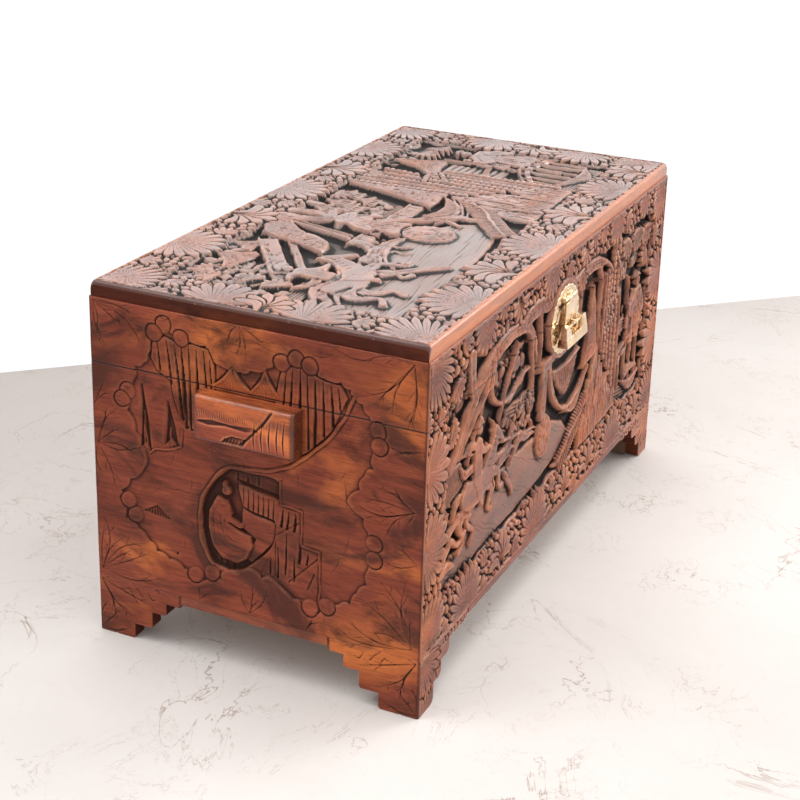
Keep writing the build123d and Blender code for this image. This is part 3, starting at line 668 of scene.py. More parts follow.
def steps(r, low, high, width, top, count):
    """A flight of narrow treads that climbs from low to high."""
    du, dv = (high[0] - low[0]) / count, (high[1] - low[1]) / count
    long = math.hypot(du, dv)
    nu, nv = -dv / long * width / 2, du / long * width / 2
    r.form(polygon([
        (low[0] - nu, low[1] - nv), (high[0] - nu, high[1] - nv),
        (high[0] + nu, high[1] + nv), (low[0] + nu, low[1] + nv),
    ]), top - 3.0, 0.5, 1.0, cover=True)
    for i in range(count + 1):
        u, v = low[0] + du * i, low[1] + dv * i
        r.form(stroke([(u - nu, v - nv), (u + nu, v + nv)], long * 0.30), top, 1.0, long * 0.3)


def rocks(r, base_left, base_right, tops, top):
    """Upright grooved cliffs: each top is (u, height above the base line, half width)."""
    for i, (u, rise, half) in enumerate(tops):
        share = (u - base_left[0]) / (base_right[0] - base_left[0])
        v0 = base_left[1] + share * (base_right[1] - base_left[1])
        level = top - 0.8 * (i % 3)
        outline = [(u - half, v0), (u + half, v0), (u + half * 0.8, v0 + rise * 0.72)]
        crown = [
            (u + half * 0.8, v0 + rise * 0.72), (u + half * 0.2, v0 + rise), (u - half * 0.7, v0 + rise * 0.8)
        ]
        outline += curve(crown, 5)[1:]
        r.form(polygon(outline), level, 3.2, half * 0.6, cover=True)
        for k in (-0.35, 0.15, 0.55):
            r.cut(curve([
                (u + half * k, v0 + rise * (0.78 - abs(k) * 0.4)),
                (u + half * (k + 0.1), v0 + rise * 0.4),
                (u + half * k * 1.3, v0 + 2),
            ], 5), max(1.8, half * 0.16), 3.0)


def beaded_column(r, low, high, bead, top, rng):
    """A column of overlapping small leaves, like a trained vine on a post."""
    (u0, v0), (u1, v1) = low, high
    long = math.hypot(u1 - u0, v1 - v0)
    count = max(2, int(long / (bead * 1.55)))
    r.form(stroke([low, high], bead * 1.0), top - 4.0, 1.5, bead, cover=True)
    for i in range(count + 1):
        t = i / count
        u = u0 + (u1 - u0) * t + rng.uniform(-0.15, 0.15) * bead
        v = v0 + (v1 - v0) * t
        r.form(
            oval(u, v, bead * 1.02, bead * 0.86, rng.uniform(-20, 20)),
            top, bead * 0.5, bead * 0.8, cover=True
        )
        r.cut([(u - bead * 0.6, v + bead * 0.2), (u + bead * 0.6, v + bead * 0.1)], 0.9, 0.8)


def post(r, low, high, half, top):
    r.form(stroke([low, high], half), top, half * 0.6, half, cover=True)


def bamboo(r, stems, smooth, half, smooth_top, bead, top, rng):
    """A stand of stems from low to high; those numbered in smooth are posts, the others are beaded."""
    for k, (low, high) in enumerate(stems):
        if k in smooth:
            post(r, low, high, half, smooth_top)
        else:
            beaded_column(r, low, high, bead, top - 0.3 * (k % 3), rng)


def bridge(r, left, right, rise, deck, top):
    """An arched footbridge with a railing."""
    middle = ((left[0] + right[0]) / 2, (left[1] + right[1]) / 2 + rise)
    chain = curve([left, middle, right], 9)
    r.form(stroke(chain, deck), top, 1.4, deck, cover=True)
    rail = [(u, v + deck * 2.4) for u, v in chain]
    r.form(stroke(rail, deck * 0.45), top + 0.3, 0.9, deck * 0.45, cover=True)
    for u, v in chain[::3]:
        r.form(stroke([(u, v), (u, v + deck * 2.4)], deck * 0.34), top, 0.8, deck * 0.34)
    return chain


def hill(r, points, top, texture):
    r.form(polygon(points), top, 2.4, 14.0, cover=True, texture=texture)


def grain_cuts(depth, pitch, turn):
    """Long uneven knife marks over open ground, each of its own depth and broken along its length."""
    c, s = math.cos(math.radians(turn)), math.sin(math.radians(turn))

    def texture(u, v, d):
        sway = 2.6 * np.sin(v / 23.0 + u / 41.0) + 1.3 * np.sin(v / 9.0 - u / 17.0)
        phase = (u * c + v * s + sway) / pitch
        row = np.floor(phase)
        off = np.abs(phase - row - 0.5 + 0.22 * np.sin(row * 5.3)) * pitch
        along_row = (v * c - u * s) / 37.0 + row * 1.7
        broken = np.clip(0.5 + np.sin(along_row) + 0.6 * np.sin(along_row * 2.3), 0, 1)
        return -depth * (0.4 + 0.6 * np.sin(row * 12.9) ** 2) * np.clip(1 - off / 1.5, 0, 1) * broken

    return texture


# ---------------------------------------------------------------- borders
def ring(r, left, right, top, bottom):
    """True inside a board's leafy border, whose inner edge wanders."""
    def inside(u, v):
        sway = 6.0 * (np.sin(u / 23.0) * np.cos(v / 19.0) + 0.5 * np.sin(u / 9.0 + v / 11.0))
        return (
            (u < left + sway) | (u > r.width - right + sway)
            | (v < r.low + bottom + sway) | (v > r.low + r.height - top + sway)
        )

    return inside


def border_ground(r, inside):
    """Lowers the border to its ground, and the field inside it deeper still."""
    share = np.clip(blurred(1.0 - inside(r.U, r.V), 2) * 1.6 - 0.3, 0, 1)
    r.h[:] = GAP_LEVEL * (1 - share) + FIELD_LEVEL * share


def edge_band(r, band, count, rng):
    """The plain outer rim of a board, where the leaves run out, with stray vein cuts across it."""
    near = np.minimum(
        np.minimum(r.U, r.width - r.U), np.minimum(r.V - r.low, r.low + r.height - r.V)
    )
    ragged = band + 1.8 * np.sin(r.U / 6.1) * np.cos(r.V / 5.3) + 1.2 * np.sin(r.U / 2.9 + r.V / 3.7)
    share = np.clip((ragged - near) / 1.8, 0, 1)
    r.h = np.maximum(r.h, r.h * (1 - share))
    for _ in range(count):
        side = rng.choice("lrtb")
        t = rng.uniform(0.02, 0.98)
        u = {"l": 0.0, "r": r.width}.get(side, t * r.width)
        v = {"b": r.low, "t": r.low + r.height}.get(side, r.low + t * r.height)
        inward = {"l": 0, "r": 180, "b": 90, "t": 270}[side] + rng.uniform(-35, 35)
        long = rng.uniform(9, 17)
        a, b = math.cos(math.radians(inward)), math.sin(math.radians(inward))
        r.cut([(u, v), (u + a * long * 0.5, v + b * long * 0.5), (u + a * long, v + b * long)], 0.9, 0.8)


# ---------------------------------------------------------------- the carved designs
def carve_top(width, height):
    """The lid's top: a border of leaves and grapes round a harbour scene with a rider."""
    rng = random.Random(11)
    r = Relief(width, height, 0.0, STEP, TOP_ROUND)
    inside = ring(r, 82.0, 76.0, 80.0, 84.0)
    border_ground(r, inside)
    harbour(r, rng)
    chisel(r, [(90, 90), (940, 90), (940, 440), (90, 440)], random.Random(5), 2200)
    foliage(r, inside, rng, [
        (180, 6, 90, 90, 11, 176), (463, 5, 90, 88, 11, 178), (808, 8, 88, 84, 11, 174),
        (208, 520, 270, 88, 11, 176), (545, 519, 270, 84, 11, 176), (845, 519, 268, 78, 11, 174),
        (8, 8, 45, 104, 9, 92), (1014, 10, 135, 98, 9, 92),
        (10, 514, -45, 98, 9, 92), (1012, 514, -135, 94, 9, 92),
        (5, 190, 0, 86, 9, 150), (6, 330, 4, 84, 9, 150),
        (1018, 150, 180, 80, 9, 150), (1019, 320, 182, 80, 9, 150),
    ], [
        (322, 6, 92, 84, 7, 118), (640, 6, 90, 84, 7, 124), (934, 8, 95, 76, 6, 110),
        (382, 518, 268, 80, 7, 124), (698, 518, 270, 80, 7, 124),
        (1018, 236, 176, 72, 6, 110), (6, 262, 2, 74, 6, 100),
    ])
    edge_band(r, 8.0, 60, rng)
    return r


def harbour(r, rng):
    """Rider, walls, parasol, junk, steps, rocks, bamboo and bridge: the deep scene of the lid."""
    hill(r, [
        (84, 84), (84, 232), (180, 236), (330, 232), (420, 226), (480, 212),
        (520, 190), (536, 158), (514, 128), (470, 104), (400, 92), (300, 84),
    ], -7.2, grain_cuts(1.1, 6.0, 95))
    clumps(
        r, [(84, 262), (84, 442), (170, 442), (250, 440), (200, 380), (190, 330), (160, 290)],
        rng, 13, -6.0, 150
    )
    clumps(r, [(340, 300), (350, 390), (300, 420), (300, 380)], rng, 10, -8.0, 30)
    slats(r, [(84, 236), (84, 262), (150, 272), (180, 262), (190, 236)], -7.5, 5.0, 90)
    roof(r, (146, 396), (232, 388), (204, 440), 10, -3.2)
    roof(r, (232, 412), (290, 402), (258, 442), 10, -2.6)
    wall(r, (172, 296), (305, 392), 30, -2.4, 3.8)
    wall(r, (196, 282), (318, 368), 13, -4.0, 3.0)
    for k in range(9):
        u, v = 182 + 13.5 * k, 336 + 9.8 * k
        r.form(
            polygon([(u, v), (u + 6, v + 4.4), (u + 3.5, v + 8), (u - 2.5, v + 3.6)]),
            -1.6, 0.8, 1.5, cover=True
        )
    gate = curve([(278, 306), (300, 305), (322, 314), (340, 340), (352, 372), (380, 404), (406, 422)], 4)
    gate += [(402, 446), (352, 444), (322, 430)] + curve(
        [(312, 402), (300, 362), (292, 340), (278, 306)], 4
    )[:-1]
    r.form(polygon(gate), -1.4, 1.6, 4.0, cover=True, texture=bricks(13.0, 5.0, -16))
    r.form(
        stroke(curve([(278, 306), (292, 340), (300, 362), (312, 402), (322, 430)], 5), 2.2), -0.4, 1.2, 2.2
    )
    wall(r, (364, 296), (404, 440), 9, -2.2, 5.0)
    wall(r, (380, 300), (414, 436), 5, -3.6, 5.0)
    limb(r, [(410, 444), (417, 390), (436, 360), (446, 330)], [15, 12, 10, 8], -1.6, bark=3)
    limb(r, [(446, 372), (470, 384), (500, 366), (520, 338), (526, 316)], [11, 9, 7, 6, 3], -2.4, bark=2)
    limb(r, [(446, 444), (452, 404), (438, 376)], [10, 9, 7], -2.2, bark=2)
    limb(r, [(470, 384), (492, 404), (500, 440)], [8, 7, 9], -3.0, bark=2)
    for u, v, wide, tall in (
        (470, 386, 34, 40), (512, 380, 40, 48), (560, 384, 36, 42), (490, 352, 40, 34), (540, 344, 36, 36),
    ):
        house(r, u, v, wide, tall, -4.6)
    clumps(r, [(468, 318), (474, 360), (520, 340), (560, 336), (556, 300), (500, 300)], rng, 12, -7.0, 60)
    slats(r, [(470, 296), (480, 318), (556, 312), (560, 288)], -8.0, 7.0, 15)
    wall(r, (340, 266), (570, 268), 26, -4.2, 5.0, 90)
    for k in range(14):
        r.cut([(348 + 16 * k, 268), (348 + 16 * k, 290)], 1.0, 1.4, False)
    clumps(r, [(380, 236), (384, 262), (560, 264), (540, 236)], rng, 10, -8.5, 50)
    sail(r, (634, 436), (572, 262), (670, 260), -1.0)
    hull(r, (496, 250), (640, 262), 20, 34, -2.0, 7.0)
    for shift in (0, 1, 2):
        limb(
            r, [(498, 236 - 9 * shift), (556, 206 - 9 * shift), (632, 244 - 9 * shift)],
            [2.5, 4, 2.4], -1.6 - shift
        )
    r.sink(polygon([(384, 236), (398, 232), (402, 310), (390, 312)]), FIELD_LEVEL, 3.0)
    person(r, 436, 236, 128, -0.9)
    r.form(oval(446, 348, 34, 16, 4), -0.3, 2.0, 6, cover=True, texture=ripple(6.0, 0.5, 90))
    r.form(disc(446, 352, 4.5), 0.0, 1.5, 4.5, cover=True)
    limb(r, [(462, 300), (486, 262), (505, 232), (540, 196), (538, 150)], [8, 9, 10, 9, 4], -2.4, bark=2)
    limb(r, [(505, 232), (516, 206), (500, 176)], [6, 5, 3], -3.4, bark=1)
    parasol(r, 440, 202, 38, 43, -0.5, 18)
    horse(r, 252, 172, 112, -2.8)
    horse(r, 96, 112, 190, -0.6)
    rider(r, 96, 112, 190, -0.2, lance=0.0)
    for k in range(4):
        limb(
            r, [(276, 196 + 9 * k), (330, 222 + 8 * k), (404, 226 + 3 * k)],
            [2.4, 4.4, 1.6], -2.0 - 0.5 * k, 1.6
        )
    limb(r, [(86, 214), (128, 236), (176, 226), (210, 240)], [4, 8, 6, 3], -2.2)
    limb(r, [(88, 176), (120, 196), (150, 190)], [3, 6, 3], -2.8)
    limb(r, [(230, 176), (262, 152), (300, 116), (306, 108)], [8, 9, 7, 4], -1.6, bark=1)
    steps(r, (486, 96), (632, 210), 40, -1.4, 24)
    limb(r, curve([(474, 86), (540, 138), (600, 180), (640, 236)], 2), [2.5, 3, 3, 2.5], -0.8, 1.2)
    rocks(r, (560, 82), (790, 88), [
        (588, 70, 20), (612, 112, 20), (640, 172, 26), (628, 124, 16), (664, 140, 20),
        (684, 118, 24), (722, 96, 22), (668, 86, 16), (756, 72, 20), (700, 70, 14),
        (742, 54, 14), (606, 58, 14), (648, 64, 14), (720, 44, 12),
    ], -0.8)
    bamboo(r, [
        ((658, 236), (646, 442)), ((676, 220), (672, 442)), ((694, 200), (694, 442)),
        ((712, 190), (716, 442)), ((728, 170), (734, 340)), ((744, 150), (750, 340)),
        ((760, 130), (766, 330)), ((778, 116), (782, 320)), ((722, 300), (756, 322)),
        ((700, 330), (760, 344)), ((734, 360), (742, 420)),
    ], (1, 6), 4.5, -1.8, 6.6, -0.9, rng)
    r.sink(polygon([(742, 350), (760, 440), (790, 440), (764, 352)]), FIELD_LEVEL, 3.0)
    clumps(r, [(786, 380), (792, 442), (880, 442), (880, 400), (840, 380)], rng, 12, -8.0, 60)
    roof(r, (742, 338), (838, 352), (806, 434), 8, -1.6)
    for k in range(7):
        r.cut([(802 + 2 * k, 424 - 3 * k), (770 + 10 * k, 346 + 2 * k)], 1.3, 1.8, False)
    slats(r, [(786, 230), (786, 336), (836, 340), (856, 290), (850, 230)], -7.0, 13.0, 90)
    slats(r, [(790, 250), (792, 262), (850, 276), (846, 264)], -3.4, 5.0, 20)
    r.sink(polygon([(836, 300), (880, 260), (886, 330), (850, 380)]), FIELD_LEVEL, 5.0)
    limb(r, [(874, 150), (882, 210), (896, 250)], [5, 6, 5], -3.0, bark=1)
    limb(r, [(912, 120), (906, 190), (912, 250)], [5, 6, 6], -3.4, bark=1)
    person(r, 864, 232, 96, -2.6)
    person(r, 902, 206, 150, -0.9, flip=True, staff=True)
    chain = bridge(r, (786, 168), (936, 192), 22, 6.4, -1.2)
    for u, v in chain[2::3]:
        post(r, (u, 96), (u + 3, v), 4.0, -4.0)
    slats(r, [(792, 88), (792, 118), (936, 118), (936, 88)], -8.0, 6.0, 80)
    hull(r, (800, 126), (930, 120), 10, 22, -3.4)
    for u, v, turn in (
        (118, 330, 60), (104, 384, 90), (112, 286, 40), (132, 404, 120),
        (872, 408, 250), (916, 400, 220), (560, 428, 270), (700, 436, 265),
    ):
        vine_leaf(r, u, v, turn, 32, 7, 180, -1.8)


def carve_front(width, low, high, split):
    """The front, drawn over the body and the lid's rail together: borders and a deeply carved scene."""
    rng = random.Random(23)
    r = Relief(width, high - low, low, split=split)
    r.dark_ends = 0.15
    inside = ring(r, 76.0, 70.0, 50.0, 70.0)
    border_ground(r, inside)
    shore(r, rng)
    chisel(r, [(70, 190), (960, 190), (960, 500), (70, 500)], random.Random(8), 2200)
    foliage(r, inside, rng, [
        (160, 96, 90, 74, 11, 176), (430, 96, 90, 76, 11, 178), (800, 95, 90, 74, 11, 176),
        (6, 98, 48, 96, 9, 92), (1024, 98, 132, 92, 9, 92), (4, 250, 0, 84, 9, 160), (5, 372, -4, 80, 9, 150),
        (1026, 236, 180, 78, 9, 160), (1026, 360, 184, 76, 9, 150), (8, 531, -44, 92, 9, 92),
        (1022, 531, -136, 88, 9, 92), (195, 533, 270, 56, 9, 176), (455, 533, 270, 54, 9, 176),
        (760, 533, 270, 56, 9, 176), (905, 532, 268, 46, 7, 160),
    ], [
        (292, 96, 92, 66, 7, 120), (560, 96, 90, 62, 7, 124),
        (676, 96, 90, 60, 6, 120), (925, 96, 95, 60, 6, 110),
        (325, 533, 270, 50, 7, 124), (610, 533, 270, 50, 7, 124),
    ])
    edge_band(r, 6.0, 50, rng)
    return r


def shore(r, rng):
    """The front's deep scene: old trees, a rider with a lance, ships, rocks, bamboo and a bridge."""
    hill(r, [
        (70, 160), (72, 196), (150, 212), (180, 250), (260, 262), (400, 262), (500, 262),
        (556, 240), (582, 215), (564, 194), (500, 180), (400, 168), (260, 164), (140, 158),
    ], -7.4, grain_cuts(0.8, 6.5, 62))
    clumps(r, [(240, 384), (250, 440), (360, 446), (366, 404), (330, 372)], rng, 13, -9.5, 60)
    clumps(r, [(72, 380), (72, 470), (150, 490), (160, 440), (110, 390)], rng, 12, -8.0, 70)
    limb(
        r, [(82, 344), (110, 366), (150, 410), (205, 452), (280, 476), (350, 470), (392, 436), (404, 396)],
        [9, 10, 11, 13, 14, 12, 8, 3], -1.0, bark=3
    )
    limb(r, [(168, 420), (156, 446), (150, 492)], [8, 10, 13], -0.8, bark=2)
    limb(r, [(150, 330), (186, 384), (214, 432), (232, 470)], [4, 6, 7, 8], -2.2, bark=2)
    limb(r, [(118, 350), (180, 396), (224, 420)], [5, 5, 3], -2.6, bark=1)
    limb(r, [(236, 456), (230, 414), (252, 386), (300, 374), (352, 388)], [8, 6, 5, 4, 2], -1.8, bark=2)
    limb(r, [(262, 330), (280, 384), (312, 430), (330, 452)], [3, 4, 5, 7], -2.4, bark=1)
    limb(r, [(300, 368), (350, 392), (384, 396)], [3, 4, 2], -2.4)
    limb(r, [(352, 478), (400, 484), (450, 476)], [12, 16, 14], -1.0, bark=3)
    limb(r, [(386, 436), (396, 372), (392, 322), (402, 292)], [5, 5, 4, 3], -2.0, bark=1)
    limb(r, [(416, 468), (424, 420), (420, 384)], [7, 5, 3], -1.6, bark=1)
    r.sink(oval(350, 452, 26, 9, -18), FIELD_LEVEL, 3.0)
    limb(r, [(556, 474), (640, 478), (700, 468), (745, 448)], [10, 13, 10, 4], -1.2, bark=3)
    limb(r, [(690, 466), (704, 430), (696, 386)], [7, 5, 3], -2.0, bark=1)
    limb(r, [(596, 470), (604, 430), (590, 392)], [6, 4, 2], -2.6, bark=1)
    for k in range(4):
        limb(
            r, [(704 + 9 * k, 300 + 6 * k), (700 + 10 * k, 380), (708 + 9 * k, 440)],
            [3.4, 2.6, 3.0], -3.0 - 0.5 * k, 1.2
        )
    r.sink(oval(716, 452, 22, 8, -24), FIELD_LEVEL, 3.0)
    limb(r, [(556, 466), (540, 440), (520, 430)], [10, 8, 5], -2.6, bark=1)
    slats(r, [(76, 286), (78, 340), (132, 342), (150, 316), (140, 300)], -5.0, 4.4, 24)
    clumps(r, [(72, 258), (74, 284), (150, 296), (170, 262)], rng, 9, -8.0, 30)
    slats(r, [(300, 330), (302, 352), (420, 356), (424, 330)], -9.0, 6.0, 80)
    clumps(r, [(290, 316), (300, 346), (420, 350), (424, 300), (360, 290)], rng, 10, -7.5, 60)
    hull(r, (486, 348), (608, 350), 8, 54, -3.4, 8.0)
    for k in range(9):
        r.cut([(500 + 11 * k, 338), (512 + 8.5 * k, 306 + abs(k - 4) * 3)], 1.4, 1.6, False)
    limb(r, [(478, 338), (496, 300), (545, 266), (600, 260), (655, 304)], [4, 5, 5, 5, 3], -1.4, 1.6)
    hull(r, (545, 258), (655, 300), 10, 26, -2.8, 60.0)
    sail(r, (656, 440), (628, 306), (690, 312), -1.0)
    slats(r, [(660, 440), (676, 440), (700, 330), (694, 316)], -5.0, 5.0, 10)
    clumps(r, [(560, 372), (560, 420), (620, 430), (616, 380)], rng, 9, -10.0, 24)
    r.sink(polygon([(424, 290), (428, 400), (436, 400), (434, 290)]), FIELD_LEVEL, 3.0)
    post(r, (447, 292), (447, 372), 14.0, -1.0)
    for k in (-7, -2, 4):
        r.cut([(447 + k, 366), (447 + k, 330), (447 + k, 296)], 1.0, 1.2)
    r.form(oval(458, 374, 34, 10, 4), -0.4, 1.6, 5, cover=True)
    r.form(oval(456, 381, 24, 6, 4), -0.2, 1.4, 4, cover=True)
    limb(r, [(470, 366), (484, 320), (512, 286)], [7, 7, 4], -2.0, bark=1)
    parasol(r, 460, 250, 31, 35, -0.5, 20)
    horse(r, 240, 238, 98, -3.0)
    horse(r, 108, 192, 172, -0.6)
    rider(r, 108, 192, 172, -0.2, lance=1.22)
    limb(r, [(84, 240), (126, 256), (168, 244)], [4, 8, 3], -1.8)
    limb(r, [(72, 212), (100, 230), (124, 216), (152, 226)], [7, 6, 6, 3], -1.6)
    limb(r, [(68, 190), (92, 196), (116, 186)], [6, 8, 3], -2.2)
    limb(r, [(318, 262), (352, 292), (372, 284), (414, 276)], [4, 9, 8, 3], -2.2)
    limb(r, [(300, 250), (322, 226), (330, 206)], [7, 6, 3], -2.4)
    steps(r, (536, 168), (662, 238), 36, -1.6, 22)
    limb(r, curve([(520, 172), (580, 206), (640, 234), (668, 262)], 2), [2.5, 3, 3, 2.5], -0.8, 1.2)
    rocks(r, (612, 160), (830, 170), [
        (640, 60, 18), (664, 110, 18), (692, 164, 20), (676, 130, 14), (710, 138, 16),
        (726, 118, 18), (700, 86, 14), (752, 88, 18), (776, 60, 16), (660, 44, 12),
        (738, 62, 12), (800, 46, 16), (690, 50, 12), (762, 40, 12),
    ], -0.7)
    bamboo(r, [
        ((716, 306), (722, 440)), ((732, 290), (738, 440)), ((748, 270), (750, 440)),
        ((764, 250), (764, 478)), ((784, 220), (786, 482)), ((802, 200), (804, 440)),
        ((728, 340), (770, 352)), ((768, 474), (800, 420)), ((740, 380), (800, 388)),
    ], (0, 5), 4.2, -1.2, 6.8, -0.8, rng)
    clumps(r, [(800, 400), (806, 470), (940, 470), (930, 420), (860, 410)], rng, 12, -7.5, 80)
    clumps(r, [(816, 290), (816, 340), (862, 340), (860, 290)], rng, 9, -9.5, 26)
    slats(r, [(812, 296), (812, 322), (866, 326), (868, 300)], -6.0, 5.5, 85)
    person(r, 868, 274, 76, -2.6)
    person(r, 900, 262, 130, -0.8, flip=True, staff=True)
    chain = bridge(r, (812, 250), (938, 290), 2, 5.4, -1.2)
    for u, v in chain[3::4]:
        post(r, (u, 186), (u + 2, v), 4.0, -3.8)
    slats(r, [(816, 164), (816, 192), (948, 192), (948, 164)], -9.0, 6.0, 80)
    hull(r, (850, 200), (944, 194), 8, 22, -2.4)
    limb(r, [(862, 206), (890, 216), (930, 206)], [4, 8, 3], -2.0)
    for u, v, turn, size in (
        (830, 474, 250, 42), (880, 478, 270, 46), (925, 470, 285, 42), (100, 474, 300, 36),
        (520, 478, 268, 38), (600, 480, 262, 36), (940, 420, 200, 36), (84, 404, 330, 34),
    ):
        vine_leaf(r, u, v, turn, size, 7, 150, -1.2)


def lock_pad(r, u, v, radius):
    """Flat wood left standing behind the lock plate."""
    r.form(disc(u, v, radius), 0.0, 0.4, 1.0, cover=True)


def scalloped_edge(points, bulge, count):
    """A chain of leaf-like scallops between the given points, bulging to the left of the way along."""
    made = []
    for p, q in zip(points[:-1], points[1:]):
        du, dv = q[0] - p[0], q[1] - p[1]
        long = math.hypot(du, dv)
        for k in range(count):
            t = k / count
            lift = bulge * math.sin(math.pi * t)
            made.append((p[0] + du * t - dv / long * lift, p[1] + dv * t + du / long * lift))
    made.append(points[-1])
    return made


VEIN_WIDTH, VEIN_DEPTH = 1.8, 1.9


def veins(r, root, tips):
    """Bowed knife cuts from a leaf's root to each tip, with short side twigs on the longer ones."""
    for k, (u, v) in enumerate(tips):
        du, dv = u - root[0], v - root[1]
        long, way = math.hypot(du, dv), math.atan2(dv, du)
        bow = 0.13 * math.sin(1.9 * k + 0.05 * root[0] + 1.0)
        chain = curve([root, (root[0] + du * 0.5 - dv * bow, root[1] + dv * 0.5 + du * bow), (u, v)], 7)
        r.cut(chain, VEIN_WIDTH, VEIN_DEPTH)
        for share, turn, size in ((0.38, 0.55, 0.26), (0.58, -0.50, 0.24), (0.74, 0.60, 0.16)):
            if long * size < 7:
                continue
            a, b = chain[int(share * (len(chain) - 1))]
            angle = way + (turn if k % 2 else -turn)
            c, s = math.cos(angle), math.sin(angle)
            reach = long * size
            bend = (a + c * reach * 0.55, b + s * reach * 0.5)
            end = (a + c * reach, b + s * reach * 1.06)
            r.cut(curve([(a, b), bend, end], 4), VEIN_WIDTH * 0.75, VEIN_DEPTH * 0.75)


def slit(r, high, low, wide, level=-6.0):
    """A dark upright gouge, widest at its foot and pointed at its top."""
    middle = ((high[0] + low[0]) / 2 + 0.12 * wide, (high[1] + low[1]) / 2)
    chain = curve([high, middle, low], 5)
    r.sink(stroke(chain, taper(0.5, wide * 0.42, wide * 0.5, len(chain))), level, 0.9)


def carve_end(width, low, high, split):
    """An end, seen from outside with the back on the left: a shallow field inside a scalloped leaf border."""
    r = Relief(width, high - low, low, step=END_STEP, split=split)
    r.bite = 2.1
    outline = scalloped_edge([
        (103, 488), (97, 466), (90, 452), (75, 444), (70, 418), (58, 398), (60, 372), (74, 342),
        (89, 312), (84, 284), (62, 264), (45, 244), (53, 200), (73, 187), (92, 171), (104, 157),
        (126, 149), (152, 141), (184, 128), (214, 139), (218, 154), (240, 156), (262, 169),
        (278, 158), (303, 161), (323, 146), (343, 134), (370, 124), (402, 148), (421, 155),
        (431, 175), (445, 191), (447, 216), (462, 242), (445, 273), (438, 292), (413, 311),
        (432, 333), (437, 355), (453, 368), (450, 390), (464, 414), (445, 444), (434, 460),
        (421, 467), (417, 475), (402, 484), (376, 485), (364, 492), (332, 506), (298, 492),
        (290, 482), (262, 473), (246, 468), (216, 471), (200, 486), (193, 497), (167, 497),
        (150, 500), (124, 516), (103, 488),
    ], 3.6, 5)
    r.form(polygon(outline), -2.7, 0.5, 12.0, cover=True)
    trunks(r)
    for u, v, half in ((234, 474, 34), (285, 478, 26)):
        roof(r, (u - half, 438), (u + half, 438), (u, v), 3.5, -0.5)
        r.cut([(u - half, 438), (u, v), (u + half, 438)], 1.7, 1.6, False)
        r.cut([(u, v - 4), (u + 2, 441)], 1.3, 1.2)
    road = curve([
        (421, 466), (398, 418), (362, 375), (318, 340), (280, 326), (226, 319),
        (199, 293), (181, 258), (177, 220), (184, 184), (199, 160),
    ], 5)
    ridge_line(r, road, 2.6, -0.5)
    medallion(r)
    fence(r)
    ridge_line(r, [(150, 360), (148, 334), (120, 322), (106, 321), (96, 313)], 1.6, -1.2)
    r.cut(scalloped_edge([(300, 300), (312, 318), (318, 338)], 3.0, 3), 1.4, 1.2)
    r.sink(polygon([(81, 218), (105, 232), (130, 213), (104, 214)]), -5.0, 1.2)
    for k in range(8):
        r.form(stroke([(88 + 5 * k, 214), (90 + 4.4 * k, 226 - 1.6 * abs(k - 3))], 0.9), -3.0, 0.5, 0.9)
    for k in range(9):
        angle = math.radians(150 - 13 * k)
        r.cut([(138, 160), (138 + 34 * math.cos(angle), 160 + 26 * math.sin(angle))], 1.2, 0.8)
    for u, v in (
        (124, 515), (152, 500), (107, 500), (311, 495),
        (333, 504), (354, 498), (61, 404), (51, 389), (57, 230),
        (69, 208), (170, 135), (197, 145), (357, 130), (384, 140),
        (455, 257), (456, 231), (457, 425), (460, 403),
    ):
        r.form(disc(u, v, 14.0), -2.6, 0.3, 1.2, cover=True)
        r.form(disc(u, v, 12.8), -0.1, 2.4, 9.0, cover=True)
    leaf_sprays(r)
    for u, v, turn, length in (
        (160, 262, 80, 30), (152, 170, 100, 26), (408, 225, 78, 44), (374, 262, 72, 20), (128, 300, 70, 28),
        (412, 300, 98, 52), (200, 322, 100, 26), (246, 338, -80, 22), (336, 312, 96, 30), (398, 336, 60, 26),
        (126, 262, 12, 26), (388, 190, 66, 40),
    ):
        angle = math.radians(turn)
        tip = (u + length * math.cos(angle), v + length * math.sin(angle))
        r.cut(curve([(u, v), ((u + tip[0]) / 2 + 2, (v + tip[1]) / 2), tip], 4), 1.3, 1.3)
    return r


def ridge_line(r, points, half, top):
    """A raised line with a knife cut on each side of it."""
    r.cut(points, half + 2.6, 2.4, False)
    r.form(stroke(points, half), top, 1.0, half, cover=True)


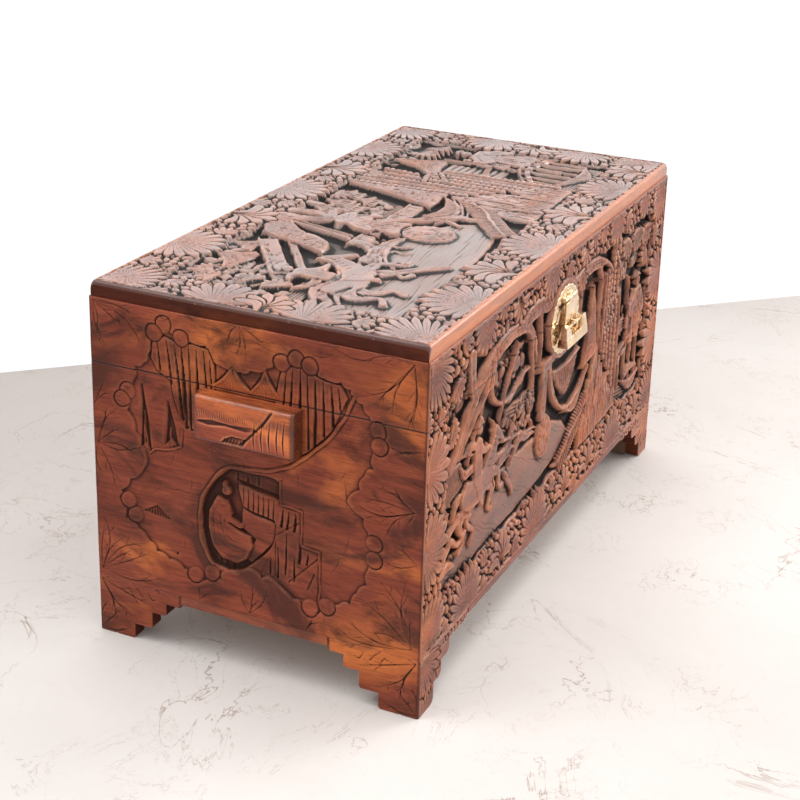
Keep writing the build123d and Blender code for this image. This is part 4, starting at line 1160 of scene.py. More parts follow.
def trunks(r):
    """Two stands of trunks under the lid's leaves, split by dark slits, with flame-shaped slits beside."""
    left = [
        (104, 486), (101, 462), (110, 444), (132, 432), (139, 400), (150, 372), (176, 362),
        (196, 372), (206, 440), (206, 470), (196, 492), (170, 495), (150, 490), (124, 498),
    ]
    right = [
        (310, 486), (300, 440), (302, 372), (322, 352), (352, 370), (388, 408),
        (412, 462), (402, 480), (376, 482), (358, 488), (334, 494),
    ]
    for group in (left, right):
        r.form(polygon(group), -0.7, 1.8, 5.0, cover=True)
        r.cut(group + group[:1], 1.8, 2.4, False)
    for k, (top, foot, wide) in enumerate((
        ((113, 486), (117, 446), 3.4), ((128, 492), (135, 428), 4.0), ((141, 488), (152, 376), 5.2),
        ((152, 489), (158, 366), 7.5), ((164, 492), (166, 364), 4.4), ((176, 490), (178, 372), 6.6),
        ((188, 488), (194, 384), 4.6), ((198, 478), (201, 402), 3.4),
        ((318, 486), (310, 392), 3.6), ((328, 490), (320, 372), 5.2), ((340, 491), (336, 366), 6.4),
        ((350, 486), (352, 376), 4.0), ((362, 482), (362, 382), 6.0), ((374, 480), (376, 400), 4.2),
        ((386, 478), (390, 416), 5.0), ((397, 474), (401, 440), 3.0),
    )):
        slit(r, top, foot, wide)
    for tip, a, b in (((84, 417), (81, 318), (97, 316)), ((127, 399), (121, 332), (143, 330))):
        flame = [tip, ((tip[0] + b[0]) / 2 + 2, (tip[1] + b[1]) / 2), b, ((a[0] + b[0]) / 2, a[1] + 9), a]
        r.cut(flame + [tip], 3.4, 2.0, False)
        r.sink(polygon(flame), -8.0, 1.3)
        for k in range(2):
            u = a[0] + (b[0] - a[0]) * (k + 1) / 3
            r.form(
                stroke([(u, a[1]), (tip[0] + 2, tip[1] - 42 - 12 * k)], [1.5, 0.7]),
                -3.6, 0.8, 1.5, cover=True
            )


def medallion(r):
    """The sunken egg-shaped panel with a robed sage in it, before a plank wall."""
    egg = curve([
        (226, 317), (200, 290), (184, 258), (181, 222), (187, 186), (203, 160), (240, 160),
        (272, 184), (297, 216), (300, 262), (306, 314), (260, 318), (226, 317),
    ], 5)[:-1]
    r.sink(polygon(egg), -9.0, 1.4)
    r.form(polygon([(240, 296), (304, 286), (303, 250), (246, 262)]), -3.8, 1.0, 2.0, cover=True)
    for k in range(7):
        slit(r, (249 + 8 * k, 293 - 1.4 * k), (248 + 8 * k, 260 - 1.5 * k), 2.6, -7.5)
    r.cut([(236, 300), (306, 289)], 2.0, 2.0, False)
    drape = [(246, 258), (302, 246), (294, 214), (262, 176), (250, 182), (268, 214), (244, 230)]
    r.form(polygon(drape), -5.4, 0.8, 3.0, cover=True)
    r.cut([(262, 256), (292, 232)], 1.3, 1.2)
    robe = [
        (206, 270), (222, 266), (232, 248), (226, 232), (240, 226), (262, 218), (264, 204),
        (254, 180), (238, 170), (214, 172), (198, 190), (190, 216), (192, 246),
    ]
    r.form(polygon(robe), -1.6, 2.8, 7.0, cover=True)
    for fold in (
        [(204, 262), (200, 230), (206, 196)], [(214, 262), (212, 232), (222, 200)], [(222, 256), (218, 226)],
        [(212, 222), (232, 206), (258, 206)], [(210, 206), (230, 190), (254, 194)],
        [(206, 190), (226, 180), (244, 184)], [(196, 236), (206, 226), (222, 236)],
    ):
        r.cut(curve(fold, 4), 1.5, 1.6)
    limb(r, [(208, 256), (226, 240), (244, 232)], [6, 6, 4], -1.0, 1.6)
    r.form(disc(221, 282, 8.0), -1.4, 2.2, 8.0, cover=True)
    r.form(disc(218, 291, 4.6), -1.2, 1.6, 4.6, cover=True)
    for u, v in ((206, 168), (216, 164), (228, 164)):
        slit(r, (u, v + 10), (u + 3, v - 3), 4.0, -11.0)
    for u, tall in ((236, 12), (252, 8), (270, 12)):
        slit(r, (u, 303 + tall), (u + 1, 300), 4.5, -10.5)


def fence(r):
    """The stepped fence beside the medallion, with its dark slits and rising planks."""
    steps_line = [(308, 316), (308, 280), (342, 278), (342, 223), (371, 221), (371, 142)]
    inside = steps_line + [(330, 138), (300, 160), (276, 168), (298, 214), (302, 262), (306, 300)]
    r.form(polygon(inside), -3.6, 0.4, 2.0, cover=True)
    for top, foot, wide in (
        ((312, 274), (309, 246), 5.0), ((322, 274), (318, 244), 4.0), ((332, 272), (330, 244), 5.0),
        ((340, 236), (338, 196), 5.5), ((318, 238), (316, 172), 3.4), ((304, 212), (304, 164), 3.4),
        ((292, 196), (292, 168), 3.0), ((330, 206), (330, 166), 3.4), ((352, 214), (350, 196), 3.4),
    ):
        slit(r, top, foot, wide, -8.0)
    for line in (
        [(302, 232), (338, 258)], [(322, 162), (368, 210)], [(352, 158), (362, 184)], [(300, 250), (300, 166)]
    ):
        r.cut(line, 2.0, 2.0, False)
    ridge_line(r, steps_line, 1.5, -0.8)


def leaf_sprays(r):
    """The veins of the border's leaves, each spray fanning out from its leaf's root."""
    for root, tips in (
        ((8, 532), [(96, 470), (60, 500), (30, 462), (12, 478), (82, 520)]),
        ((245, 538), [(240, 486), (256, 484), (226, 504), (290, 512)]),
        ((508, 530), [(424, 468), (450, 462), (478, 440), (496, 424), (504, 432), (430, 520)]),
        ((8, 312), [(46, 374), (26, 372), (80, 318), (82, 304), (40, 236), (14, 258), (52, 346)]),
        ((4, 372), [(40, 396), (22, 410)]),
        ((8, 106), [(92, 168), (94, 152), (118, 116), (46, 166), (16, 186), (10, 210), (64, 150)]),
        ((260, 96), [(246, 134), (266, 150), (290, 146), (276, 122)]),
        ((514, 318), [(416, 312), (430, 322), (452, 344), (482, 350), (446, 296), (470, 268), (504, 300)]),
        ((520, 240), [(468, 234), (486, 262)]),
        ((516, 108), [(406, 134), (428, 172), (462, 208), (506, 216), (512, 160), (448, 118), (390, 104)]),
        ((520, 408), [(470, 408), (484, 396)]),
        ((176, 98), [(174, 124), (190, 112)]),
        ((352, 96), [(362, 116), (374, 112)]),
    ):
        veins(r, root, tips)
    for twig in (
        [(330, 520), (370, 514), (396, 526)], [(372, 540), (420, 522), (470, 530)],
        [(110, 540), (126, 522), (140, 534)], [(254, 520), (278, 514), (300, 506)],
    ):
        r.cut(curve(twig, 4), 1.5, 1.5)


def carve_foot(us, high, front):
    """Leaf cuts on a foot bracket, measured from the chest's corner at u = 0."""
    r = Relief(us[-1], high, 0.0, us=us)
    r.bite = 2.0 if front else 1.5
    if front:
        vine_leaf(r, 5, 92, -48, 84, 6, 92, -0.3)
        for k in range(5):
            r.cut(curve([(8 + 8 * k, 40 - 3 * k), (12 + 8 * k, 20), (10 + 8 * k, 4)], 4), 1.7, 1.8)
        for k in range(8):
            grape(r, 84 + 11 * k, 86 - 1.5 * (k % 2), 5.2, -0.5)
        for k in range(3):
            r.cut([(56 + 7 * k, 52), (60 + 6 * k, 36)], 1.5, 1.6)
    else:
        veins(r, (6, 90), [(128, 84), (96, 62), (66, 34), (30, 24)])
        veins(r, (4, 4), [(14, 52), (36, 40), (54, 14)])
        for k in range(3):
            r.cut(
                curve([(50 + 18 * k, 88), (58 + 18 * k, 80 - 3 * k), (62 + 20 * k, 70 + 4 * k)], 4), 1.6, 1.6
            )
    return r


def carve_handle(width, low, high):
    """The handle's face: a pine fringe over a stepped bridge, and reeds at the right."""
    r = Relief(width, high - low, low, HANDLE_STEP, 5.0)
    r.bite = 1.3
    mid = low + (high - low) * 0.52
    for k in range(30):
        u = 7 + 3.6 * k
        dip = 3.0 * math.sin(k * 0.75)
        r.cut([(u, mid + 12 + dip), (u + 0.6, mid + 6 + dip), (u + 2.0, mid - 1 + dip)], 1.0, 1.4)
    r.sink(polygon([
        (7, mid - 3), (30, mid + 1), (60, mid - 1), (96, mid + 2), (106, mid - 4),
        (84, mid - 9), (52, mid - 6), (24, mid - 10), (7, mid - 7),
    ]), -1.7, 2.0)
    r.sink(polygon([(44, low + 5), (50, low + 12), (62, low + 18), (86, low + 17), (80, low + 5)]), -2.0, 1.5)
    for k in range(7):
        r.cut([(48 + 5 * k, low + 4), (52 + 5 * k, low + 15)], 1.1, 1.3)
    r.cut([(76, low + 6), (92, low + 24), (112, low + 46), (124, low + 64)], 3.2, 2.4, False)
    for k, u in enumerate((98, 110, 122, 134, 144)):
        r.cut(curve([(u, low + 4), (u - 2, low + 26), (u + 1, low + 46 + 3 * k)], 4), 1.8, 2.0)
    return r


# ---------------------------------------------------------------- meshes
def raw_mesh(name, points, quads, tris, smooth, slots=None):
    """A mesh from arrays: points in mm, faces of four corners and faces of three."""
    points = np.asarray(points, np.float32) * MM
    quads = np.asarray(quads, np.int32).reshape(-1, 4)
    tris = np.asarray(tris, np.int32).reshape(-1, 3)
    mesh = bpy.data.meshes.new(name)
    mesh.vertices.add(len(points))
    mesh.vertices.foreach_set("co", points.ravel())
    corners = np.concatenate([quads.ravel(), tris.ravel()])
    mesh.loops.add(len(corners))
    mesh.loops.foreach_set("vertex_index", corners)
    starts = np.concatenate([np.arange(len(quads)) * 4, len(quads) * 4 + np.arange(len(tris)) * 3])
    mesh.polygons.add(len(starts))
    mesh.polygons.foreach_set("loop_start", starts.astype(np.int32))
    if slots is not None:
        mesh.polygons.foreach_set("material_index", np.asarray(slots, np.int32))
    mesh.polygons.foreach_set("use_smooth", smooth)
    mesh.update(calc_edges=True)
    mesh.validate()
    return mesh


def add_piece(name, mesh, materials, body, nodes=()):
    """Puts a mesh in the scene as a piece that rides on a body."""
    piece = bpy.data.objects.new(name, mesh)
    bpy.context.scene.collection.objects.link(piece)
    for material in materials:
        mesh.materials.append(material)
    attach(piece, body)
    if nodes:
        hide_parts(*nodes)
    return piece


CUT_REACH, PIT_REACH = 4.0, 13.0     # mm around a point that tell whether it lies in a cut or is shut in
LOW_FROM, LOW_OVER = 3.5, 2.5        # mm down where ground starts to be low, and how much further it fully is
DEEP_FROM, DEEP_OVER = 8.0, 4.5


def surface_marks(h, bite, step):
    """How hollow, how high on a crest, how deep, how low and how shut in each point of a relief is, each from
    0 to 1. They place dirt and painted shade in the cuts, painted shade on deep and shut-in ground, dust on
    low ground, and wear and a painted highlight on the crests.
    """
    near, far = max(2, round(CUT_REACH / step)), round(PIT_REACH / step)
    hollow = np.clip((blurred(h, near) - h) / bite, 0, 1)
    crest = np.clip((h - blurred(h, 2)) / (bite * 0.4), 0, 1)
    deep = np.clip((-h - DEEP_FROM) / DEEP_OVER, 0, 1)
    low = np.clip((-h - LOW_FROM) / LOW_OVER, 0, 1)
    shut = np.clip((blurred(h, far) - h - 0.2 * bite) / (bite * 1.9), 0, 1)
    return {"hollow": hollow, "crest": crest, "deep": deep, "low": low, "shut": shut}


def rim_drop(t, radius):
    """How far a rounded edge falls away at a distance t from it."""
    s = np.clip(radius - t, 0, radius)
    return radius - np.sqrt(np.clip(radius * radius - s * s, 0, None))


FAR_OFF = 50.0           # mm added to the distance from an end that has no rim
MITRE_REACH = 40.0       # mm over which the back's columns move in towards a mitre


def stretched(h, marks, U, V, v, bottom):
    """A relief squeezed upwards in each column so that its lowest row lies on the line bottom."""
    tall = v[-1] - v[0]
    warped = bottom + (V - v[0]) / tall * (v[-1] - bottom)
    spot = np.clip((warped - v[0]) / tall * (len(v) - 1), 0, len(v) - 1.001)
    j = spot.astype(int)
    f = spot - j
    i = np.broadcast_to(np.arange(U.shape[1]), j.shape)
    h = h[j, i] * (1 - f) + h[j + 1, i] * f
    marks = {k: m[j, i] * (1 - f) + m[j + 1, i] * f for k, m in marks.items()}
    return h, marks, warped


def worn_edges(r, h, marks, u, v, U, V, bottom, mitre, rims):
    """Rounds a board's four edges and marks them: worn rims, paler with wear and a painted highlight, end
    grain, and a line of painted shade along the seam.
    """
    left, right, below, above = rims
    from_left, from_right = U - u[0], u[-1] - U
    if mitre[0]:
        from_left = np.where(from_left < left, left * HALF_TURN + from_left * (1 - HALF_TURN), from_left)
    if mitre[1]:
        from_right = np.where(
            from_right < right, right * HALF_TURN + from_right * (1 - HALF_TURN), from_right
        )
    middle = (u[0] + u[-1]) / 2
    U = np.where(U < middle, u[0] + from_left, u[-1] - from_right)
    upright = rim_drop(from_left, left) + rim_drop(from_right, right)
    level = rim_drop(V - bottom, below) + rim_drop(v[-1] - V, above)
    # Upright rounded edges are paler: wear, and a painted highlight along them.
    marks["crest"] = np.maximum(marks["crest"], 0.8 * np.clip(upright / 1.2, 0, 1))
    # Painted shade: a dark line along the seam between the lid and the body.
    for edge, radius in ((bottom, below), (v[-1], above)):
        if radius == SEAM_ROUND:
            off = np.abs(V - edge)
            marks["hollow"] = np.maximum(marks["hollow"], np.clip(1.3 - off / 0.8, 0, 1))
            marks["crest"] = marks["crest"] * np.clip(off / 3.0, 0, 1)
    width = max(3.0, left)
    ends = np.minimum(U - u[0] + FAR_OFF * (left == 0), u[-1] - U + FAR_OFF * (right == 0))
    sides = np.minimum(V - bottom, v[-1] - V)
    marks["endgrain"] = r.dark_ends * np.clip(1.3 - ends / width, 0, 1)
    marks["rim"] = np.clip(1.3 - np.minimum(ends, sides) / width, 0, 1)
    if left > WOOD_ROUND:
        marks["hollow"] = marks["hollow"] * (1 - 0.8 * marks["rim"])
    marks["shut"] = marks["shut"] * (1 - marks["rim"])
    return U, h - upright - level


def relief_board(
    name, r, rows, place, thick, mitre=(0.0, 0.0), low=None, rims=(WOOD_ROUND,) * 4, cut_ends=False
):
    """A closed board with a carved face. low, if given, is the height of its lower edge for each column.

    rims are the edge roundings at the left, right, bottom and top; mitre is how far the back stands in
    at each end. Material 0 is for the face, 1 for the back and 2 for sawn edges: the top and bottom edges
    of a board with a stepped lower edge, and the ends with cut_ends.
    """
    u = r.u
    v = r.v[rows]
    U, V = np.meshgrid(u, v)
    marks = {k: m[rows] for k, m in surface_marks(r.h, r.bite, r.step).items()}
    h = r.h[rows]
    bottom = np.full(len(u), v[0]) if low is None else low
    if low is not None:
        h, marks, V = stretched(h, marks, U, V, v, bottom)
    U, out = worn_edges(r, h, marks, u, v, U, V, bottom, mitre, rims)

    nv, nu = U.shape
    inset_left = np.clip(MITRE_REACH - (u - u[0]), 0, MITRE_REACH) / MITRE_REACH * mitre[0]
    inset_right = np.clip(MITRE_REACH - (u[-1] - u), 0, MITRE_REACH) / MITRE_REACH * mitre[1]
    back_u = u + (inset_left - inset_right)
    front = place(U.ravel(), V.ravel(), out.ravel())
    back_low = place(back_u, bottom, np.full(nu, -thick))
    back_high = place(back_u, np.full(nu, v[-1]), np.full(nu, -thick))
    points = np.concatenate([front, back_low, back_high])

    grid = np.arange(nv * nu).reshape(nv, nu)
    bl = nv * nu + np.arange(nu)
    bh = bl + nu
    face = np.stack([grid[:-1, :-1], grid[:-1, 1:], grid[1:, 1:], grid[1:, :-1]], -1).reshape(-1, 4)
    skirt_low = np.stack([bl[:-1], bl[1:], grid[0, 1:], grid[0, :-1]], 1)
    skirt_high = np.stack([grid[-1, :-1], grid[-1, 1:], bh[1:], bh[:-1]], 1)
    back = np.stack([bl[1:], bl[:-1], bh[:-1], bh[1:]], 1)
    tris = end_fan(grid[:, 0], bl[0], bh[0]) + [f[::-1] for f in end_fan(grid[:, -1], bl[-1], bh[-1])]
    quads = np.concatenate([face, skirt_low, skirt_high, back])
    sawn = 2 * (low is not None)
    slots = np.repeat(
        [0, sawn, 1, 2 * cut_ends], [len(face), len(skirt_low) + len(skirt_high), len(back), len(tris)]
    )
    mesh = raw_mesh(name, points, quads, tris, np.arange(len(slots)) < len(face), slots)
    for key, values in marks.items():
        whole = np.zeros(len(points), np.float32)
        whole[:nv * nu] = values.ravel()
        if key == "endgrain":
            whole[[bl[0], bh[0], bl[-1], bh[-1]]] = 1.0
        if key == "rim":
            whole[nv * nu:] = 1.0
        mesh.attributes.new(key, "FLOAT", "POINT").data.foreach_set("value", whole)
    return mesh


def end_fan(column, corner_low, corner_high):
    """Triangles that close a board's end between the face's last column and two corners of the back."""
    half = len(column) // 2
    fan = [(column[j + 1], corner_low, column[j]) for j in range(half)]
    fan += [(column[j + 1], corner_high, column[j]) for j in range(half, len(column) - 1)]
    return fan + [(column[half], corner_high, corner_low)]


def softened(node, name, width, before=None):
    """A copy of a CAD node's shape with its edges eased; before keeps only what is in front of that y."""
    made = bmesh.new()
    made.from_mesh(frame["nodes"][node].data)
    bmesh.ops.remove_doubles(made, verts=made.verts, dist=1e-6)
    if before is not None:
        bmesh.ops.bisect_plane(
            made, geom=made.verts[:] + made.edges[:] + made.faces[:],
            plane_co=(0, before * MM, 0), plane_no=(0, 1, 0), clear_outer=True,
        )
        bmesh.ops.holes_fill(made, edges=[e for e in made.edges if e.is_boundary])
    bmesh.ops.dissolve_limit(made, angle_limit=math.radians(1.0), verts=made.verts, edges=made.edges)
    sharp = [e for e in made.edges if len(e.link_faces) == 2 and e.calc_face_angle(0) > math.radians(30)]
    bmesh.ops.bevel(
        made, geom=sharp, offset=width * MM, segments=2, profile=0.6, affect="EDGES", clamp_overlap=True
    )
    for f in made.faces:
        f.smooth = True
    mesh = bpy.data.meshes.new(name)
    made.to_mesh(mesh)
    made.free()
    mesh.set_sharp_from_angle(angle=math.radians(38))
    return mesh


# ---------------------------------------------------------------- materials
class Shader:
    """Builds one procedural material, node by node."""

    def __init__(self, name):
        self.material = bpy.data.materials.new(name)
        self.material.use_nodes = True
        self.tree = self.material.node_tree
        self.tree.nodes.clear()
        self.output = self.tree.nodes.new("ShaderNodeOutputMaterial")

    def node(self, kind, settings=None, **inputs):
        made = self.tree.nodes.new("ShaderNode" + kind)
        for key, value in (settings or {}).items():
            setattr(made, key, value)
        for key, value in inputs.items():
            self.plug(made.inputs[key.replace("_", " ")], value)
        return made

    def plug(self, socket, value):
        if isinstance(value, bpy.types.NodeSocket):
            self.tree.links.new(value, socket)
        else:
            socket.default_value = value

    def coords(self, scale):
        place = self.node("TexCoord")
        mapped = self.node("Mapping")
        self.plug(mapped.inputs["Vector"], place.outputs["Object"])
        mapped.inputs["Scale"].default_value = scale
        return mapped.outputs["Vector"]

    def noise(self, vector, scale, detail=4.0, rough=0.55, warp=0.0):
        made = self.node(
            "TexNoise", None, Vector=vector, Scale=scale, Detail=detail, Roughness=rough, Distortion=warp
        )
        return made.outputs["Fac"]

    def ramp(self, fac, stops):
        made = self.node("ValToRGB", None, Fac=fac)
        ramp = made.color_ramp
        while len(ramp.elements) < len(stops):
            ramp.elements.new(0.5)
        for element, (where, colour) in zip(ramp.elements, stops):
            element.position = where
            element.color = (*colour, 1.0)
        return made.outputs["Color"]

    def level(self, fac, low, high, to_low=0.0, to_high=1.0):
        made = self.node("MapRange", {"clamp": True})
        self.plug(made.inputs["Value"], fac)
        for key, value in zip(("From Min", "From Max", "To Min", "To Max"), (low, high, to_low, to_high)):
            made.inputs[key].default_value = value
        return made.outputs["Result"]

    def math(self, kind, a, b):
        made = self.node("Math", {"operation": kind})
        self.plug(made.inputs[0], a)
        self.plug(made.inputs[1], b)
        return made.outputs["Value"]

    def plus(self, a, b):
        return self.math("ADD", a, b)

    def times(self, a, b):
        return self.math("MULTIPLY", a, b)

    def mix(self, fac, base, colour):
        made = self.node("Mix", {"data_type": "RGBA"})
        self.plug(made.inputs[0], fac)
        self.plug(made.inputs[6], base)
        self.plug(made.inputs[7], (*colour, 1.0))
        return made.outputs[2]

    def tinge(self, base, colour, where, low, high, strength):
        """Mixes a colour over base where a value rises from low to high."""
        return self.mix(self.level(where, low, high, 0.0, strength), base, colour)

    def mark(self, name):
        """One of the per-vertex marks that relief_board leaves."""
        return self.node("Attribute", {"attribute_name": name}).outputs["Fac"]

    def bump(self, height, strength, distance, normal=None):
        made = self.node("Bump", None, Height=height)
        made.inputs["Strength"].default_value = strength
        made.inputs["Distance"].default_value = distance
        if normal is not None:
            self.plug(made.inputs["Normal"], normal)
        return made.outputs["Normal"]

    def finish(self, constants, **linked):
        shader = self.node("BsdfPrincipled")
        for key, value in constants.items():
            shader.inputs[key].default_value = value
        for key, value in linked.items():
            self.plug(shader.inputs[key.replace("_", " ")], value)
        self.tree.links.new(shader.outputs["BSDF"], self.output.inputs["Surface"])
        return self.material


def along(axis, lengthways, across):
    """Texture scales for a grain that runs along an axis."""
    return tuple(lengthways if a == axis else across for a in "XYZ")


def toned(colour, tint):
    return tuple(part * tint for part in colour)


HEARTWOOD = (                                # stops of the figure, from its darkest to its palest
    (0.05, (0.095, 0.0185, 0.0105)), (0.40, (0.168, 0.0335, 0.0170)),
    (0.68, (0.240, 0.0520, 0.0250)), (0.98, (0.330, 0.0830, 0.0380)),
)
AMBER = (0.50, 0.135, 0.034)
SMOKE = (0.046, 0.0125, 0.0085)
FLECK = (0.030, 0.008, 0.005)
PORE = (0.020, 0.007, 0.005)
# Painted shade, nearly black: on the lowest ground, and in places closed in by higher forms.
DEEP_SHADE = (0.020, 0.0125, 0.0115)         # on the lowest ground
SHUT_IN_SHADE = (0.020, 0.0075, 0.0060)         # in places that are closed in by higher forms
# Pale colour of the crests: wear, and a painted highlight.
CREST_WEAR_AND_HIGHLIGHT = (0.46, 0.180, 0.085)
# Grey that the wood is mixed towards; on the lid's top it paints the pale sheen of its varnish.
GREYED = (0.28, 0.220, 0.200)
END_GRAIN = (0.060, 0.0130, 0.0080)
BLACK_CUTS = (0.0045, 0.0026, 0.0026)        # dirt and painted shade in the cuts of the front and the top
BROWN_CUTS = (0.034, 0.0112, 0.0080)         # and of the ends and handles


def stained_wood(
    name, axis, tint=1.0, shine=0.34, carved=True, crest_pale=1.0, varnish=0.4, gloss=0.3, figure=1.0, glow=1.0,
    cuts=BLACK_CUTS, rim_varnish=0.8, rim_tone=None, end_dark=0.75, dust=0.45, ground=(0.105, 0.060, 0.042),
    grey=0.0, smoky=0.60, cut_dark_at=0.80,
):
    """Dark red-brown varnished camphor, nearly black in the cuts with dirt and painted shade, and paler on
    the crests with wear and a painted highlight.

    axis is the way of the grain. shine is the roughness, varnish the coat's strength, gloss the bare
    wood's reflection and rim_varnish the coat on the edges. figure is the strength of the lengthways
    streaks, glow that of the amber patches and smoky that of the dark ones. crest_pale is how pale the
    crests are, with wear and a painted highlight, grey how greyed the wood is, a painted sheen on the
    lid's top, cut_dark_at the depth of dirt and painted shade at which a cut is fully dark, dust how
    much of the colour ground lies on low ground. rim_tone is the strength and colour of the edges' tone:
    patina, and on the lid's top a painted highlight.
    """
    s = Shader(name)
    plain = s.coords((1.0, 1.0, 1.0))
    patches = s.noise(s.coords(along(axis, 3.0, 6.0)), 1.0, 4.0, 0.55, 0.9)
    smoke = s.noise(s.coords(along(axis, 4.2, 8.5)), 1.3, 5.0, 0.60, 1.5)
    waves = s.noise(s.coords(along(axis, 4.0, 34.0)), 1.0, 6.0, 0.62, 0.9)
    streaks = s.noise(s.coords(along(axis, 13.0, 300.0)), 1.0, 4.0, 0.6)
    flecks = s.noise(s.coords(along(axis, 24.0, 420.0)), 1.0, 3.0, 0.5)
    pores = s.noise(s.coords(along(axis, 45.0, 1100.0)), 1.0, 2.0, 0.5)
    grain = s.plus(s.times(waves, 0.58), s.times(streaks, 0.42))
    reach = 0.17 / figure
    stops = [(where, toned(colour, tint)) for where, colour in HEARTWOOD]
    wood = s.ramp(s.level(grain, 0.5 - reach, 0.5 + reach), stops)
    wood = s.tinge(wood, toned(AMBER, tint), patches, 0.50, 0.66, 0.62 * glow)
    wood = s.tinge(wood, toned(SMOKE, tint), smoke, 0.48, 0.62, smoky)
    wood = s.tinge(wood, FLECK, flecks, 0.60, 0.68, 0.34)
    wood = s.tinge(wood, PORE, pores, 0.57, 0.66, 0.40)
    rough = s.level(streaks, 0.3, 0.7, shine, shine + 0.12)
    lacquer = s.level(s.noise(plain, 12.0, 4.0, 0.6), 0.35, 0.65, varnish * 0.5, varnish)
    if carved:
        wood = s.mix(s.times(s.mark("low"), dust), wood, ground)
        # Painted shade: the deepest ground and places shut in by higher forms go nearly black.
        wood = s.tinge(wood, DEEP_SHADE, s.mark("deep"), 0.0, 1.0, 0.93)
        wood = s.tinge(wood, SHUT_IN_SHADE, s.mark("shut"), 0.0, 0.9, 0.85)
        # Dirt and painted shade in the cuts: the hollows, with some of the shut-in shade, go dark.
        shade = s.plus(s.mark("hollow"), s.times(s.mark("shut"), 0.30))
        dirt_and_shade = s.plus(shade, s.times(s.noise(plain, 70.0, 3.0), 0.25))
        # Crests paler with wear and a painted highlight.
        scuffed_and_highlit = s.level(s.noise(plain, 27.0, 4.0, 0.6), 0.38, 0.66, 0.15 * crest_pale, 0.85 * crest_pale)
        wood = s.mix(s.times(s.mark("crest"), scuffed_and_highlit), wood, toned(CREST_WEAR_AND_HIGHLIGHT, tint))
        if grey:
            # Greying; on the lid's top this is a painted sheen.
            wood = s.mix(s.level(patches, 0.3, 0.7, grey * 1.4, grey * 0.6), wood, GREYED)
        wood = s.tinge(wood, cuts, dirt_and_shade, 0.22, cut_dark_at, 0.96)
        # The edges' tone: patina, and on the lid's top a pale orange that paints a highlight along its edges.
        if rim_tone:
            strength, colour = rim_tone
            rubbed_and_highlit = s.times(s.mark("rim"), s.level(grain, 0.40, 0.60, strength, 0.35 * strength))
            wood = s.mix(rubbed_and_highlit, wood, colour)
        wood = s.tinge(wood, END_GRAIN, s.mark("endgrain"), 0.15, 0.75, end_dark)
        rough = s.plus(rough, s.level(s.plus(dirt_and_shade, s.mark("deep")), 0.4, 1.6, 0.0, 0.36))
        lacquer = s.times(lacquer, s.level(s.plus(dirt_and_shade, s.mark("deep")), 0.15, 0.60, 1.0, 0.0))
        lacquer = s.times(lacquer, s.level(s.mark("rim"), 0.0, 1.0, 1.0, 0.3))
        lacquer = s.math("MAXIMUM", lacquer, s.times(s.mark("rim"), rim_varnish))
        rough = s.math("SUBTRACT", rough, s.times(s.mark("rim"), 0.10))
    smudge = s.noise(plain, 9.0, 5.0, 0.6)
    rough = s.plus(rough, s.level(smudge, 0.35, 0.7, -0.05, 0.09))
    normal = s.bump(s.noise(s.coords(along(axis, 45.0, 330.0)), 1.0, 4.0, 0.6), 0.20, 0.0006)
    normal = s.bump(s.level(pores, 0.54, 0.66, 1.0, 0.0), 0.30, 0.0003, normal)
    normal = s.bump(s.noise(plain, 30.0, 2.0, 0.5), 0.13, 0.002, normal)
    return s.finish(
        {"Coat Roughness": 0.14, "IOR": 1.45, "Specular IOR Level": gloss},
        Base_Color=wood, Roughness=rough, Normal=normal, Coat_Weight=lacquer, Coat_Normal=normal,
    )


def bare_wood(name, axis, soil_and_shade=0.0):
    """Unfinished camphor: pale, planed, with dry streaks; soil_and_shade darkens it with dirt and painted
    shade.
    """
    s = Shader(name)
    figure = s.noise(s.coords(along(axis, 1.4, 8.0)), 1.4, 6.0, 0.6, 1.2)
    streaks = s.noise(s.coords(along(axis, 8.0, 190.0)), 1.0, 5.0, 0.6)
    pores = s.noise(s.coords(along(axis, 28.0, 800.0)), 1.0, 2.0, 0.5)
    grain = s.plus(s.times(figure, 0.66), s.times(streaks, 0.34))
    wood = s.ramp(grain, [
        (0.30, (0.23, 0.115, 0.058)), (0.48, (0.38, 0.215, 0.118)), (0.60, (0.50, 0.305, 0.180)),
        (0.74, (0.60, 0.41, 0.26)),
    ])
    wood = s.tinge(wood, (0.12, 0.06, 0.035), pores, 0.56, 0.66, 0.5)
    wood = s.tinge(wood, (0.22, 0.12, 0.07), s.noise(s.coords((1, 1, 1)), 5.0, 3.0), 0.45, 0.75, 0.35)
    if soil_and_shade:
        wood = s.mix(soil_and_shade, wood, (0.035, 0.018, 0.012))
    rough = s.level(streaks, 0.3, 0.7, 0.58, 0.78)
    normal = s.bump(s.noise(s.coords(along(axis, 40.0, 300.0)), 1.0, 4.0, 0.6), 0.3, 0.0006)
    return s.finish({"Specular IOR Level": 0.4}, Base_Color=wood, Roughness=rough, Normal=normal)


